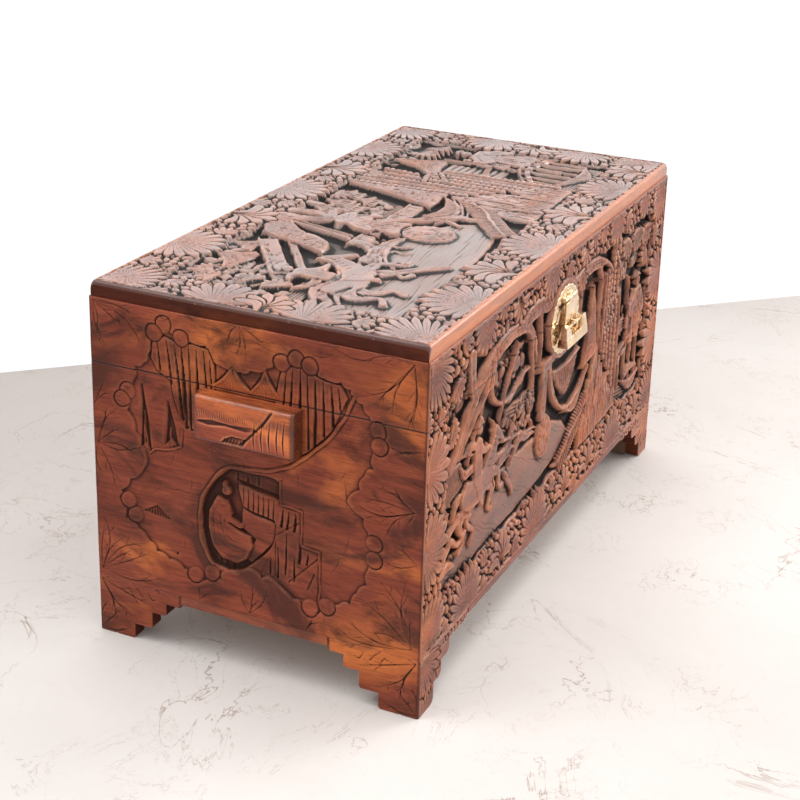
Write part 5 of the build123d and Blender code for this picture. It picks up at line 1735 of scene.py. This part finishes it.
def brass(name, dull=False):
    """Yellow brass: bright and lightly brushed, or dull and stained for screws and hinges."""
    s = Shader(name)
    plain = s.coords((1, 1, 1))
    cloud = s.noise(plain, 30.0, 4.0, 0.6)
    specks = s.noise(plain, 220.0, 3.0, 0.6)
    if dull:
        stops = [(0.35, (0.20, 0.115, 0.045)), (0.55, (0.44, 0.29, 0.12)), (0.72, (0.62, 0.45, 0.22))]
        low, high = 0.34, 0.55
    else:
        stops = [(0.32, (0.64, 0.45, 0.27)), (0.52, (0.84, 0.65, 0.44)), (0.72, (0.94, 0.79, 0.60))]
        low, high = 0.16, 0.32
    colour = s.ramp(cloud, stops)
    colour = s.tinge(colour, (0.20, 0.11, 0.04), specks, 0.60, 0.75, 0.5)
    rough = s.level(s.noise(plain, 75.0, 4.0), 0.3, 0.7, low, high)
    normal = s.bump(s.noise(s.coords((400.0, 60.0, 60.0)), 1.0, 3.0), 0.08, 0.0002)
    normal = s.bump(s.noise(plain, 90.0, 2.0), 0.12, 0.0005, normal)
    return s.finish({"Metallic": 1.0}, Base_Color=colour, Roughness=rough, Normal=normal)


# Directions along which the floor's painted shade falls off.
AWAY = (0.72, 0.694)         # from the camera to the chest, along the floor
LEFTWARDS = (-0.41, 0.91)    # and to the left of that


def concrete(name):
    """The pale floor: soft mottling and a few fine brown veins, with painted shade that greys it far away, at
    the left and near by.
    """
    s = Shader(name)
    plain = s.coords((1, 1, 1))
    cloud = s.noise(plain, 1.3, 6.0, 0.6, 0.6)
    grit = s.noise(plain, 60.0, 4.0, 0.6)
    colour = s.ramp(cloud, [(0.35, (0.665, 0.625, 0.600)), (0.65, (0.73, 0.692, 0.668))])
    for scale, warp, strength, shift in ((2.6, 1.1, 0.75, 0.0), (5.5, 1.6, 0.50, 7.3)):
        shifted = s.node("Mapping", None, Vector=plain)
        shifted.inputs["Location"].default_value = (shift, shift, 0.0)
        lines = s.noise(shifted.outputs["Vector"], scale, 7.0, 0.62, warp)
        vein = s.math("ABSOLUTE", s.math("SUBTRACT", lines, 0.5), 0.0)
        broken = s.level(s.noise(plain, 4.0, 3.0), 0.42, 0.60, 0.0, strength)
        line = s.times(s.level(vein, 0.0, 0.0055, 1.0, 0.0), broken)
        colour = s.mix(line, colour, (0.25, 0.155, 0.105))
    colour = s.tinge(colour, (0.55, 0.48, 0.43), grit, 0.5, 0.8, 0.10)
    place = s.node("SeparateXYZ", None, Vector=plain)
    x, y = place.outputs["X"], place.outputs["Y"]
    away = s.plus(s.times(x, AWAY[0]), s.times(y, AWAY[1]))
    leftwards = s.plus(s.times(x, LEFTWARDS[0]), s.times(y, LEFTWARDS[1]))
    # Painted shade: the floor greys far from the camera, towards the left and close by, as the light falls
    # off.
    colour = s.tinge(colour, (0.17, 0.135, 0.12), away, -0.25, 0.90, 0.42)
    colour = s.tinge(colour, (0.20, 0.155, 0.135), leftwards, 0.0, 0.85, 0.20)
    nearer = s.times(s.plus(away, leftwards), -1.0)
    colour = s.tinge(colour, (0.20, 0.165, 0.150), nearer, 0.50, 1.20, 0.20)
    normal = s.bump(grit, 0.05, 0.001)
    rough = s.level(cloud, 0.3, 0.7, 0.5, 0.7)
    return s.finish({"Specular IOR Level": 0.08}, Base_Color=colour, Roughness=rough, Normal=normal)


STAINED_X = stained_wood(
    "stained_x", "X", tint=1.12, gloss=0.16, varnish=0.50, rim_varnish=0.5, figure=0.9, end_dark=0.88,
    rim_tone=(0.45, (0.34, 0.105, 0.045)), grey=0.10,
)
STAINED_Y = stained_wood(
    "stained_y", "Y", tint=1.13, crest_pale=0.30, shine=0.28, varnish=0.22, gloss=0.13, figure=0.58, glow=1.6,
    cuts=BROWN_CUTS, rim_varnish=0.40, dust=0.0, smoky=0.80,
)
# The lid's top: its grey mix paints the sheen of its varnish, and its orange rim_tone a highlight along its
# edges.
STAINED_TOP = stained_wood(
    "stained_top", "X", varnish=1.0, gloss=0.6, shine=0.36, rim_varnish=0.30, dust=0.55,
    ground=(0.125, 0.092, 0.075), grey=0.36, cut_dark_at=0.55, end_dark=0.95,
    rim_tone=(1.0, (0.56, 0.165, 0.050)),
)
# Dark sawn edges: the end grain of the lid's top, and on the feet's stepped edges end grain with painted
# shade.
EDGE_GRAIN_AND_SHADE = stained_wood(
    "edge_grain_and_shade", "Y", tint=0.36, carved=False, shine=0.42, varnish=0.10, gloss=0.10, figure=0.5
)
STAINED_HANDLE = stained_wood(
    "stained_handle", "Y", tint=1.7, crest_pale=0.9, shine=0.30, varnish=0.25, gloss=0.2, figure=0.5, glow=1.4,
    cuts=BROWN_CUTS, rim_tone=(0.8, (0.050, 0.0130, 0.0085)), dust=0.0,
)
PLAIN_X = stained_wood("stained_plain_x", "X", carved=False)
PLAIN_Y = stained_wood("stained_plain_y", "Y", carved=False)
BARE_X = bare_wood("bare_x", "X")
BARE_Y = bare_wood("bare_y", "Y")
# Bare wood darkened with dirt and painted shade, for the blocks and backs under the chest.
SOILED_SHADED_Z = bare_wood("bare_soiled_shaded_z", "Z", 0.70)
BRASS = brass("brass_bright")
DULL_BRASS = brass("brass_dull", True)

# ---------------------------------------------------------------- where the boards are
low_corner, high_corner = (np.array(corner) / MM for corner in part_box("front_panel"))
LEFT_X, RIGHT_X = low_corner[0], high_corner[0]
FRONT_Y, BASE_Z, RIM_Z = low_corner[1], low_corner[2], high_corner[2]
BACK_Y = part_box("back_panel")[1][1] / MM
LID_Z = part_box("lid_front_rail")[0][2] / MM
RAIL_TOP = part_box("lid_front_rail")[1][2] / MM
top_low, top_high = (np.array(corner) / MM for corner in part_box("lid_top"))
TOP_Z = top_high[2]


def face_front(u, v, out):
    return np.stack([LEFT_X + u, FRONT_Y - out, v + 0 * u], -1)


def face_back(u, v, out):
    return np.stack([RIGHT_X - u, BACK_Y + out, v + 0 * u], -1)


def face_left(u, v, out):
    return np.stack([LEFT_X - out, BACK_Y - u, v + 0 * u], -1)


def face_right(u, v, out):
    return np.stack([RIGHT_X + out, FRONT_Y + u, v + 0 * u], -1)


def face_top(u, v, out):
    return np.stack([top_low[0] + u, top_low[1] + v, TOP_Z + out], -1)


# ---------------------------------------------------------------- boards and feet
def split_at_seam(r, face, names, wood, bare):
    """Makes the body's board and the lid's rail from one relief drawn over both."""
    for node, body, rows, thick, low_round, high_round in (
        (names[0], "carcase", r.body_rows, BODY_WALL, 1.0, SEAM_ROUND),
        (names[1], "lid", r.lid_rows, LID_WALL, SEAM_ROUND, 1.0),
    ):
        rims = (WOOD_ROUND, WOOD_ROUND, low_round, high_round)
        mesh = relief_board(node + "_carved", r, rows, face, thick, (thick, thick), rims=rims)
        add_piece(node + "_carved", mesh, [wood, bare], body, [node])


def mirrored(r):
    r.u = r.width - r.u[::-1]
    r.U, r.V = np.meshgrid(r.u, r.v)
    r.h = r.h[:, ::-1]
    return r


def plain_back(width, low, high, split):
    """The plain back: glued boards with faint joints and hand-plane waves."""
    r = Relief(width, high - low, low, step=6.0, split=split)
    r.dark_ends = 0.15
    r.h += 0.22 * np.sin(r.V / 17.0 + 0.6 * np.sin(r.U / 210.0)) + 0.12 * np.sin(r.U / 95.0)
    for z, sway in ((208.0, 0.7), (322.0, 1.9)):
        r.h -= 0.7 * np.exp(-((r.V - z - 0.4 * np.sin(r.U / 130.0 + sway)) / 3.0) ** 2)
    return r


def build_boards():
    width, depth = RIGHT_X - LEFT_X, BACK_Y - FRONT_Y
    split = (RIM_Z, LID_Z)
    front = carve_front(width, BASE_Z, RAIL_TOP, split)
    plate_low, plate_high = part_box("lock_plate_lower")[0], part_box("lock_plate_upper")[1]
    lock_pad(
        front, width / 2, (plate_low.z + plate_high.z) / 2 / MM, (plate_high.x - plate_low.x) / 2 / MM + 3
    )
    split_at_seam(front, face_front, ("front_panel", "lid_front_rail"), STAINED_X, BARE_X)
    left = carve_end(depth, BASE_Z, RAIL_TOP, split)
    split_at_seam(left, face_left, ("left_end_panel", "lid_left_rail"), STAINED_Y, BARE_Y)
    right = mirrored(carve_end(depth, BASE_Z, RAIL_TOP, split))
    split_at_seam(right, face_right, ("right_end_panel", "lid_right_rail"), STAINED_Y, BARE_Y)
    back = plain_back(width, BASE_Z, RAIL_TOP, split)
    split_at_seam(back, face_back, ("back_panel", "lid_back_rail"), STAINED_X, BARE_X)
    top = carve_top(top_high[0] - top_low[0], top_high[1] - top_low[1])
    mesh = relief_board(
        "lid_top_carved", top, slice(None), face_top, TOP_Z - RAIL_TOP, rims=(TOP_ROUND,) * 4, cut_ends=True
    )
    add_piece(
        "lid_top_carved", mesh, [STAINED_TOP, BARE_X, EDGE_GRAIN_AND_SHADE], "lid", ["lid_top"]
    )


# Each step of a foot's lower edge: how far from the corner it ends and how high the edge then rises.
LONG_FOOT = [(50.0, 32.0), (75.0, 57.0), (102.0, 78.0), (170.0, 93.0)]
END_FOOT = [(62.0, 25.0), (93.0, 52.0), (118.0, 72.0), (144.0, 93.0)]
STEP_GAP = 0.12          # between the last column of one step and the first of the next


def foot_columns(steps, scallop):
    """Column positions and the stepped lower edge of a foot bracket, each step rounded at its corner."""
    us, lows = [], []
    start, low = 0.0, 0.0
    for end, rise in steps:
        radius = min(scallop, 0.7 * (rise - low))
        flat = np.linspace(start, end - radius, max(2, int((end - radius - start) / FOOT_STEP)))
        turn = np.linspace(0, math.pi / 2, 7)[1:]
        us += list(flat) + list(end - radius + radius * np.sin(turn))
        lows += [low] * len(flat) + list(low + radius * (1 - np.cos(turn)))
        start, low = end + STEP_GAP, rise
    return np.array(us), np.array(lows)


def build_feet():
    """Two brackets on each side of the chest; near is the corner at the left of whoever faces that side."""
    for side, face, long, near_corner, far_corner in (
        ("front", face_front, True, "left", "right"), ("back", face_back, True, "right", "left"),
        ("left", face_left, False, "back", "front"), ("right", face_right, False, "front", "back"),
    ):
        steps, scallop = (LONG_FOOT, 10.0) if long else (END_FOOT, 4.0)
        span = RIGHT_X - LEFT_X if long else BACK_Y - FRONT_Y
        for far, corner in ((False, near_corner), (True, far_corner)):
            us, lows = foot_columns(steps, scallop)
            r = carve_foot(us, BASE_Z, long)
            offset, mitre = 0.0, (BODY_WALL, 0.0)
            if far:
                r = mirrored(r)
                lows = lows[::-1]
                offset, mitre = span - us[-1], (0.0, BODY_WALL)
            node = f"{side}_{corner}_foot_long_bracket" if long else f"{corner}_{side}_foot_end_bracket"
            mesh = relief_board(
                node + "_carved", r, slice(None), lambda u, v, out: face(u + offset, v, out),
                BODY_WALL, mitre, lows, (WOOD_ROUND, WOOD_ROUND, 1.2, 0.8),
            )
            wood = STAINED_X if long else STAINED_Y
            add_piece(
                node + "_carved", mesh, [wood, SOILED_SHADED_Z, EDGE_GRAIN_AND_SHADE], "carcase", [node]
            )


COVE_WIDTH, COVE_DEPTH, COVE_HEIGHT = 126.0, 13.0, 17.0
COVE_BACK = 3.0          # from the end board to the finger cove
COVE_OPEN = 5.0          # how far the cutter stands out below the handle
COVE_ROUND = 5.0
HANDLE_LET_IN = 0.4      # how deep the handle's back sits in the end board


def build_handles():
    """The two handle blocks, each with its carved face and the finger cove cut from below."""
    for side, face in (("left", face_left), ("right", face_right)):
        node = side + "_handle"
        low, high = (np.array(corner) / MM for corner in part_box(node))
        width, proud = high[1] - low[1], (LEFT_X - low[0] if side == "left" else high[0] - RIGHT_X)
        r = carve_handle(width, low[2], high[2])
        if side == "right":
            r = mirrored(r)
        offset = (BACK_Y - FRONT_Y - width) / 2
        mesh = relief_board(
            node + "_carved", r, slice(None), lambda u, v, out: face(u + offset, v, out + proud),
            proud + HANDLE_LET_IN, rims=(HANDLE_ROUND,) * 4,
        )
        piece = add_piece(
            node + "_carved", mesh, [STAINED_HANDLE, STAINED_Y], "carcase", [node]
        )
        cut_cove(piece, low, high, side)


def cut_cove(piece, low, high, side):
    """Cuts the finger cove, a slot with a rounded roof, out of a handle's underside."""
    inner, outwards = (high[0] - COVE_BACK, -1) if side == "left" else (low[0] + COVE_BACK, 1)
    tall = COVE_HEIGHT + COVE_OPEN
    tool = bmesh.new()
    bmesh.ops.create_cube(tool, size=1.0)
    centre = Vector(
        (inner + outwards * COVE_DEPTH / 2, (low[1] + high[1]) / 2, low[2] - COVE_OPEN + tall / 2)
    ) * MM
    size = Matrix.Diagonal((COVE_DEPTH * MM, COVE_WIDTH * MM, tall * MM, 1))
    bmesh.ops.transform(tool, matrix=Matrix.Translation(centre) @ size, verts=tool.verts)
    upper = [e for e in tool.edges if all(v.co.z > centre.z for v in e.verts)]
    bmesh.ops.bevel(tool, geom=upper, offset=COVE_ROUND * MM, segments=4, profile=0.5, affect="EDGES")
    mesh = bpy.data.meshes.new("cove_tool")
    tool.to_mesh(mesh)
    tool.free()
    cutter = bpy.data.objects.new("cove_tool", mesh)
    bpy.context.scene.collection.objects.link(cutter)
    cut = piece.modifiers.new("cove", "BOOLEAN")
    cut.operation, cut.object, cut.solver = "DIFFERENCE", cutter, "EXACT"
    bpy.context.view_layer.update()
    graph = bpy.context.evaluated_depsgraph_get()
    made = bpy.data.meshes.new_from_object(piece.evaluated_get(graph), depsgraph=graph)
    piece.modifiers.clear()
    old = piece.data
    piece.data = made
    bpy.data.meshes.remove(old)
    bpy.data.objects.remove(cutter)
    bpy.data.meshes.remove(mesh)


# ---------------------------------------------------------------- lock and hinges
PLATE_LOBES = 22
PLATE_LOBE_DEPTH = 2.4
POINTS_PER_LOBE = 24
PLATE_RINGS = np.array([*np.linspace(0.02, 0.90, 34), 0.93, 0.955, 0.975, 0.99, 1.0])
KNUCKLE_ROOT = 2.05         # how far in front of the chest the hasp's knuckles leave their plate


def plate_outline(count):
    """The lobed outline of the whole lock plate, round the middle of its box."""
    low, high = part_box("lock_plate_lower")[0] / MM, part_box("lock_plate_upper")[1] / MM
    half_w = (high.x - low.x) / 2 - PLATE_LOBE_DEPTH
    half_h = (high.z - low.z) / 2 - PLATE_LOBE_DEPTH
    middle = (high.z + low.z) / 2
    t = np.linspace(0, 2 * math.pi, count, endpoint=False)
    swell = PLATE_LOBE_DEPTH * np.abs(np.cos(t * PLATE_LOBES / 2))
    return (half_w + swell) * np.cos(t), middle + (half_h + swell) * np.sin(t)


def embossing(x, z, radial, outwards):
    """How far the plate stands out: a fluted band, a bead beside a groove, a fan, and an edge that falls."""
    flute = 0.5 + 0.5 * np.cos(np.arctan2(z, x) * PLATE_LOBES)
    band = np.exp(-((radial - 0.82) / 0.10) ** 2)
    bead = np.exp(-((radial - 0.60) / 0.035) ** 2)
    out = 2.0 + 1.5 * band * flute + 1.0 * bead - 0.7 * np.exp(-((radial - 0.68) / 0.03) ** 2)
    out -= 1.0 * (1 - np.sqrt(np.clip((1 - PLATE_RINGS) / 0.10, 0, 1)))[:, None]
    rise = z * outwards - 20
    fan = np.clip(rise / 8, 0, 1) * np.clip(1.2 - np.abs(x) / 34, 0, 1) * np.clip((0.62 - radial) * 12, 0, 1)
    out += fan * 1.6 * (0.5 + 0.5 * np.cos(np.arctan2(x, rise + 8) * 14))
    return np.maximum(out, 1.0)


def plate_half(node, upper):
    """One half of the embossed plate: rings of points between the seam's middle and the lobed outline."""
    x, z = plate_outline(PLATE_LOBES * POINTS_PER_LOBE)
    seam = LID_Z if upper else RIM_Z
    keep = z > seam if upper else z < seam
    order = np.argsort(np.arctan2(z[keep] - seam, x[keep]))
    x, z = x[keep][order], z[keep][order]
    wide = max(abs(x[0]), abs(x[-1]))
    ends = (wide, -wide) if upper else (-wide, wide)
    x = np.concatenate([[ends[0]], x, [ends[1]]])
    z = np.concatenate([[seam], z, [seam]])
    middle = (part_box("lock_plate_lower")[0].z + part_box("lock_plate_upper")[1].z) / 2 / MM
    X = PLATE_RINGS[:, None] * x[None, :]
    Z = seam + PLATE_RINGS[:, None] * (z - seam)[None, :]
    radial = np.hypot(X / x.max(), (Z - middle) / (z.max() - middle if upper else middle - z.min()))
    out = embossing(X, Z - middle, radial, 1 if upper else -1)

    n, m = X.shape
    front = np.stack([X.ravel(), FRONT_Y - out.ravel(), Z.ravel()], -1)
    back = np.stack([X[-1], np.full(m, FRONT_Y), Z[-1]], -1)
    points = np.concatenate([front, back, [[0.0, FRONT_Y, seam]]])
    grid = np.arange(n * m).reshape(n, m)
    rim = n * m + np.arange(m)
    hub = n * m + m
    face = np.stack([grid[:-1, :-1], grid[1:, :-1], grid[1:, 1:], grid[:-1, 1:]], -1).reshape(-1, 4)
    skirt = np.stack([grid[-1, :-1], rim[:-1], rim[1:], grid[-1, 1:]], 1)
    first, last = list(grid[:, 0]) + [rim[0]], list(grid[:, -1]) + [rim[-1]]
    tris = [(hub, rim[k + 1], rim[k]) for k in range(m - 1)]
    tris += [(hub, first[k + 1], first[k]) for k in range(n)]
    tris += [(hub, last[k], last[k + 1]) for k in range(n)]
    tris += [(hub, grid[0, k], grid[0, k + 1]) for k in range(m - 1)]
    quads = np.concatenate([face, skirt])
    smooth = np.arange(len(quads) + len(tris)) < len(face)
    mesh = raw_mesh(node + "_embossed", points, quads, tris, smooth)
    made = bmesh.new()
    made.from_mesh(mesh)
    bmesh.ops.remove_doubles(made, verts=made.verts, dist=1e-7)
    bmesh.ops.recalc_face_normals(made, faces=made.faces)
    made.to_mesh(mesh)
    made.free()
    return mesh


def build_metal():
    body_of = {n: b for b, names in frame["record"]["behaviour"]["bodies"].items() for n in names}
    for node in ("lock_plate_lower", "lock_plate_upper"):
        mesh = plate_half(node, node == "lock_plate_upper")
        add_piece(node + "_embossed", mesh, [BRASS], body_of[node], [node])
    mesh = softened("lock_plate_upper", "lock_plate_upper_knuckles", 0.3, before=FRONT_Y - KNUCKLE_ROOT)
    add_piece(
        "lock_plate_upper_knuckles", mesh, [BRASS], body_of["lock_plate_upper"], ["lock_plate_upper"]
    )
    eased = [("hasp", 0.6, BRASS), ("padlock_body", 0.9, BRASS), ("padlock_bolt", 0.6, BRASS)]
    for half in ("body", "lid"):
        eased += [(f"{side}_hinge_{half}_leaf", 0.35, DULL_BRASS) for side in ("left", "right")]
    for node, width, material in eased:
        mesh = softened(node, node + "_eased", width)
        add_piece(node + "_eased", mesh, [material], body_of[node], [node])


CAD_MATERIALS = (            # for each CAD node, the first of these words that its name holds counts
    ("bottom_batten", BARE_Y), ("bottom_plank", BARE_X), ("front_dust_lip", BARE_X), ("dust_lip", BARE_Y),
    ("foot_block", SOILED_SHADED_Z), ("left_base_strip", PLAIN_Y), ("right_base_strip", PLAIN_Y),
    ("screws", DULL_BRASS), ("hinge_pin", DULL_BRASS), ("spring", DULL_BRASS),
    ("lock", BRASS), ("hasp", BRASS), ("staple", BRASS), ("pins", BRASS), ("", PLAIN_X),
)


def dress_cad_nodes():
    """Gives every CAD node a procedural material, also where a carved piece covers it."""
    for name, obj in frame["nodes"].items():
        material = next(material for word, material in CAD_MATERIALS if word in name)
        obj.data.materials.clear()
        obj.data.materials.append(material)


# ---------------------------------------------------------------- room, light and camera
# In metres. The camera looks along AZIMUTH, turned from +Y towards +X, and ELEVATION below the horizon.
LOCATION = Vector((-2.412562, -1.091926, 1.374703))
AZIMUTH, ELEVATION, ROLL = math.radians(65.15), math.radians(20.595), math.radians(-1.593)
SENSOR, LENS, SHIFT_Y = 36.0, 78.13, -0.10


def add_camera():
    data = bpy.data.cameras.new("camera")
    data.sensor_width, data.lens, data.shift_y = SENSOR, LENS, SHIFT_Y
    data.clip_start, data.clip_end = 0.05, 100.0
    level = math.cos(ELEVATION)
    forward = Vector((math.sin(AZIMUTH) * level, math.cos(AZIMUTH) * level, -math.sin(ELEVATION)))
    right = Vector((math.cos(AZIMUTH), -math.sin(AZIMUTH), 0.0))
    down = forward.cross(right)
    turned_right = right * math.cos(ROLL) + down * math.sin(ROLL)
    turned_down = down * math.cos(ROLL) - right * math.sin(ROLL)
    camera = bpy.data.objects.new("camera", data)
    turn = Matrix((turned_right, -turned_down, -forward)).transposed()
    camera.matrix_world = Matrix.Translation(LOCATION) @ turn.to_4x4()
    bpy.context.scene.collection.objects.link(camera)
    bpy.context.scene.camera = camera


FLOOR_END = (Vector((0.265, 0.99, 0.0)), Vector((1.50, -0.29, 0.0)))     # two points where the floor ends
FLOOR_REACH = 9.0


def add_floor():
    """The floor on the chest's side of its end line, and a white sheet level with it beyond."""
    start, run = FLOOR_END[0], (FLOOR_END[1] - FLOOR_END[0]).normalized()
    out = Vector((-run.y, run.x, 0))
    a, b = start - run * FLOOR_REACH, start + run * FLOOR_REACH
    for name, side, material in (("floor", -1, concrete("floor_concrete")), ("backdrop", 1, white())):
        corners = [a, b, b + out * side * FLOOR_REACH, a + out * side * FLOOR_REACH]
        if side < 0:
            corners.reverse()
        mesh = bpy.data.meshes.new(name)
        mesh.from_pydata([tuple(c) for c in corners], [], [(0, 1, 2, 3)])
        mesh.update()
        obj = bpy.data.objects.new(name, mesh)
        bpy.context.scene.collection.objects.link(obj)
        mesh.materials.append(material)


def white():
    """The white sweep beyond the floor."""
    s = Shader("backdrop_white")
    glow = s.node("Emission")
    glow.inputs["Color"].default_value = (1, 1, 1, 1)
    glow.inputs["Strength"].default_value = 1.05
    s.tree.links.new(glow.outputs["Emission"], s.output.inputs["Surface"])
    return s.material


def add_light(name, place, target, size, power, colour, spread=180.0):
    data = bpy.data.lights.new(name, "AREA")
    data.spread = math.radians(spread)
    data.shape, data.size, data.size_y = "RECTANGLE", size[0], size[1]
    data.energy, data.color = power, colour
    light = bpy.data.objects.new(name, data)
    light.location = place
    aim = Vector(target) - Vector(place)
    light.rotation_euler = aim.to_track_quat("-Z", "Y").to_euler()
    bpy.context.scene.collection.objects.link(light)


BRIGHT_SIDE = (0.76, 0.42, 0.50)           # the way to the bright end of the room
ROOM_DIM, ROOM_BRIGHT = 0.42, 1.46         # strengths of the room's two ends
LIGHTS = (                   # name, place, what it shines at, width and height, watts, colour, spread
    ("key", (2.3, -2.3, 1.5), (0.1, 0.0, 0.30), (1.4, 1.2), 53.0, (1.0, 0.965, 0.93)),
    ("overhead", (-1.25, 0.9, 2.6), (-0.2, 0.0, 0.4), (1.2, 1.8), 25.0, (1.0, 0.99, 0.975)),
    ("fill", (-2.6, -1.9, 1.3), (-0.6, -0.3, 0.1), (2.4, 1.6), 13.0, (1.0, 0.98, 0.96)),
    ("down", (-0.1, -0.85, 2.4), (-0.1, -0.65, 0.0), (2.2, 0.8), 5.0, (1.0, 0.98, 0.96), 80.0),
)


def add_room():
    """A white studio: the room behind the chest is bright, the side that the camera stands on is dimmer."""
    world = bpy.data.worlds.new("white_room")
    bpy.context.scene.world = world
    world.use_nodes = True
    tree = world.node_tree
    back = tree.nodes["Background"]
    coords = tree.nodes.new("ShaderNodeTexCoord")
    facing = tree.nodes.new("ShaderNodeVectorMath")
    facing.operation = "DOT_PRODUCT"
    facing.inputs[1].default_value = BRIGHT_SIDE
    spread = tree.nodes.new("ShaderNodeMapRange")
    for key, value in (("From Min", -0.9), ("From Max", 0.9), ("To Min", ROOM_DIM), ("To Max", ROOM_BRIGHT)):
        spread.inputs[key].default_value = value
    rays = tree.nodes.new("ShaderNodeLightPath")
    shown = tree.nodes.new("ShaderNodeMix")
    shown.inputs["B"].default_value = 1.0
    tree.links.new(coords.outputs["Generated"], facing.inputs[0])
    tree.links.new(facing.outputs["Value"], spread.inputs["Value"])
    tree.links.new(rays.outputs["Is Camera Ray"], shown.inputs["Factor"])
    tree.links.new(spread.outputs["Result"], shown.inputs["A"])
    tree.links.new(shown.outputs["Result"], back.inputs["Strength"])
    back.inputs["Color"].default_value = (1.0, 1.0, 1.0, 1.0)
    bpy.context.scene.view_settings.view_transform = "Standard"
    bpy.context.scene.view_settings.look = "None"
    for light in LIGHTS:
        add_light(*light)


add_camera()
add_room()
add_floor()
dress_cad_nodes()
build_boards()
build_feet()
build_handles()
build_metal()
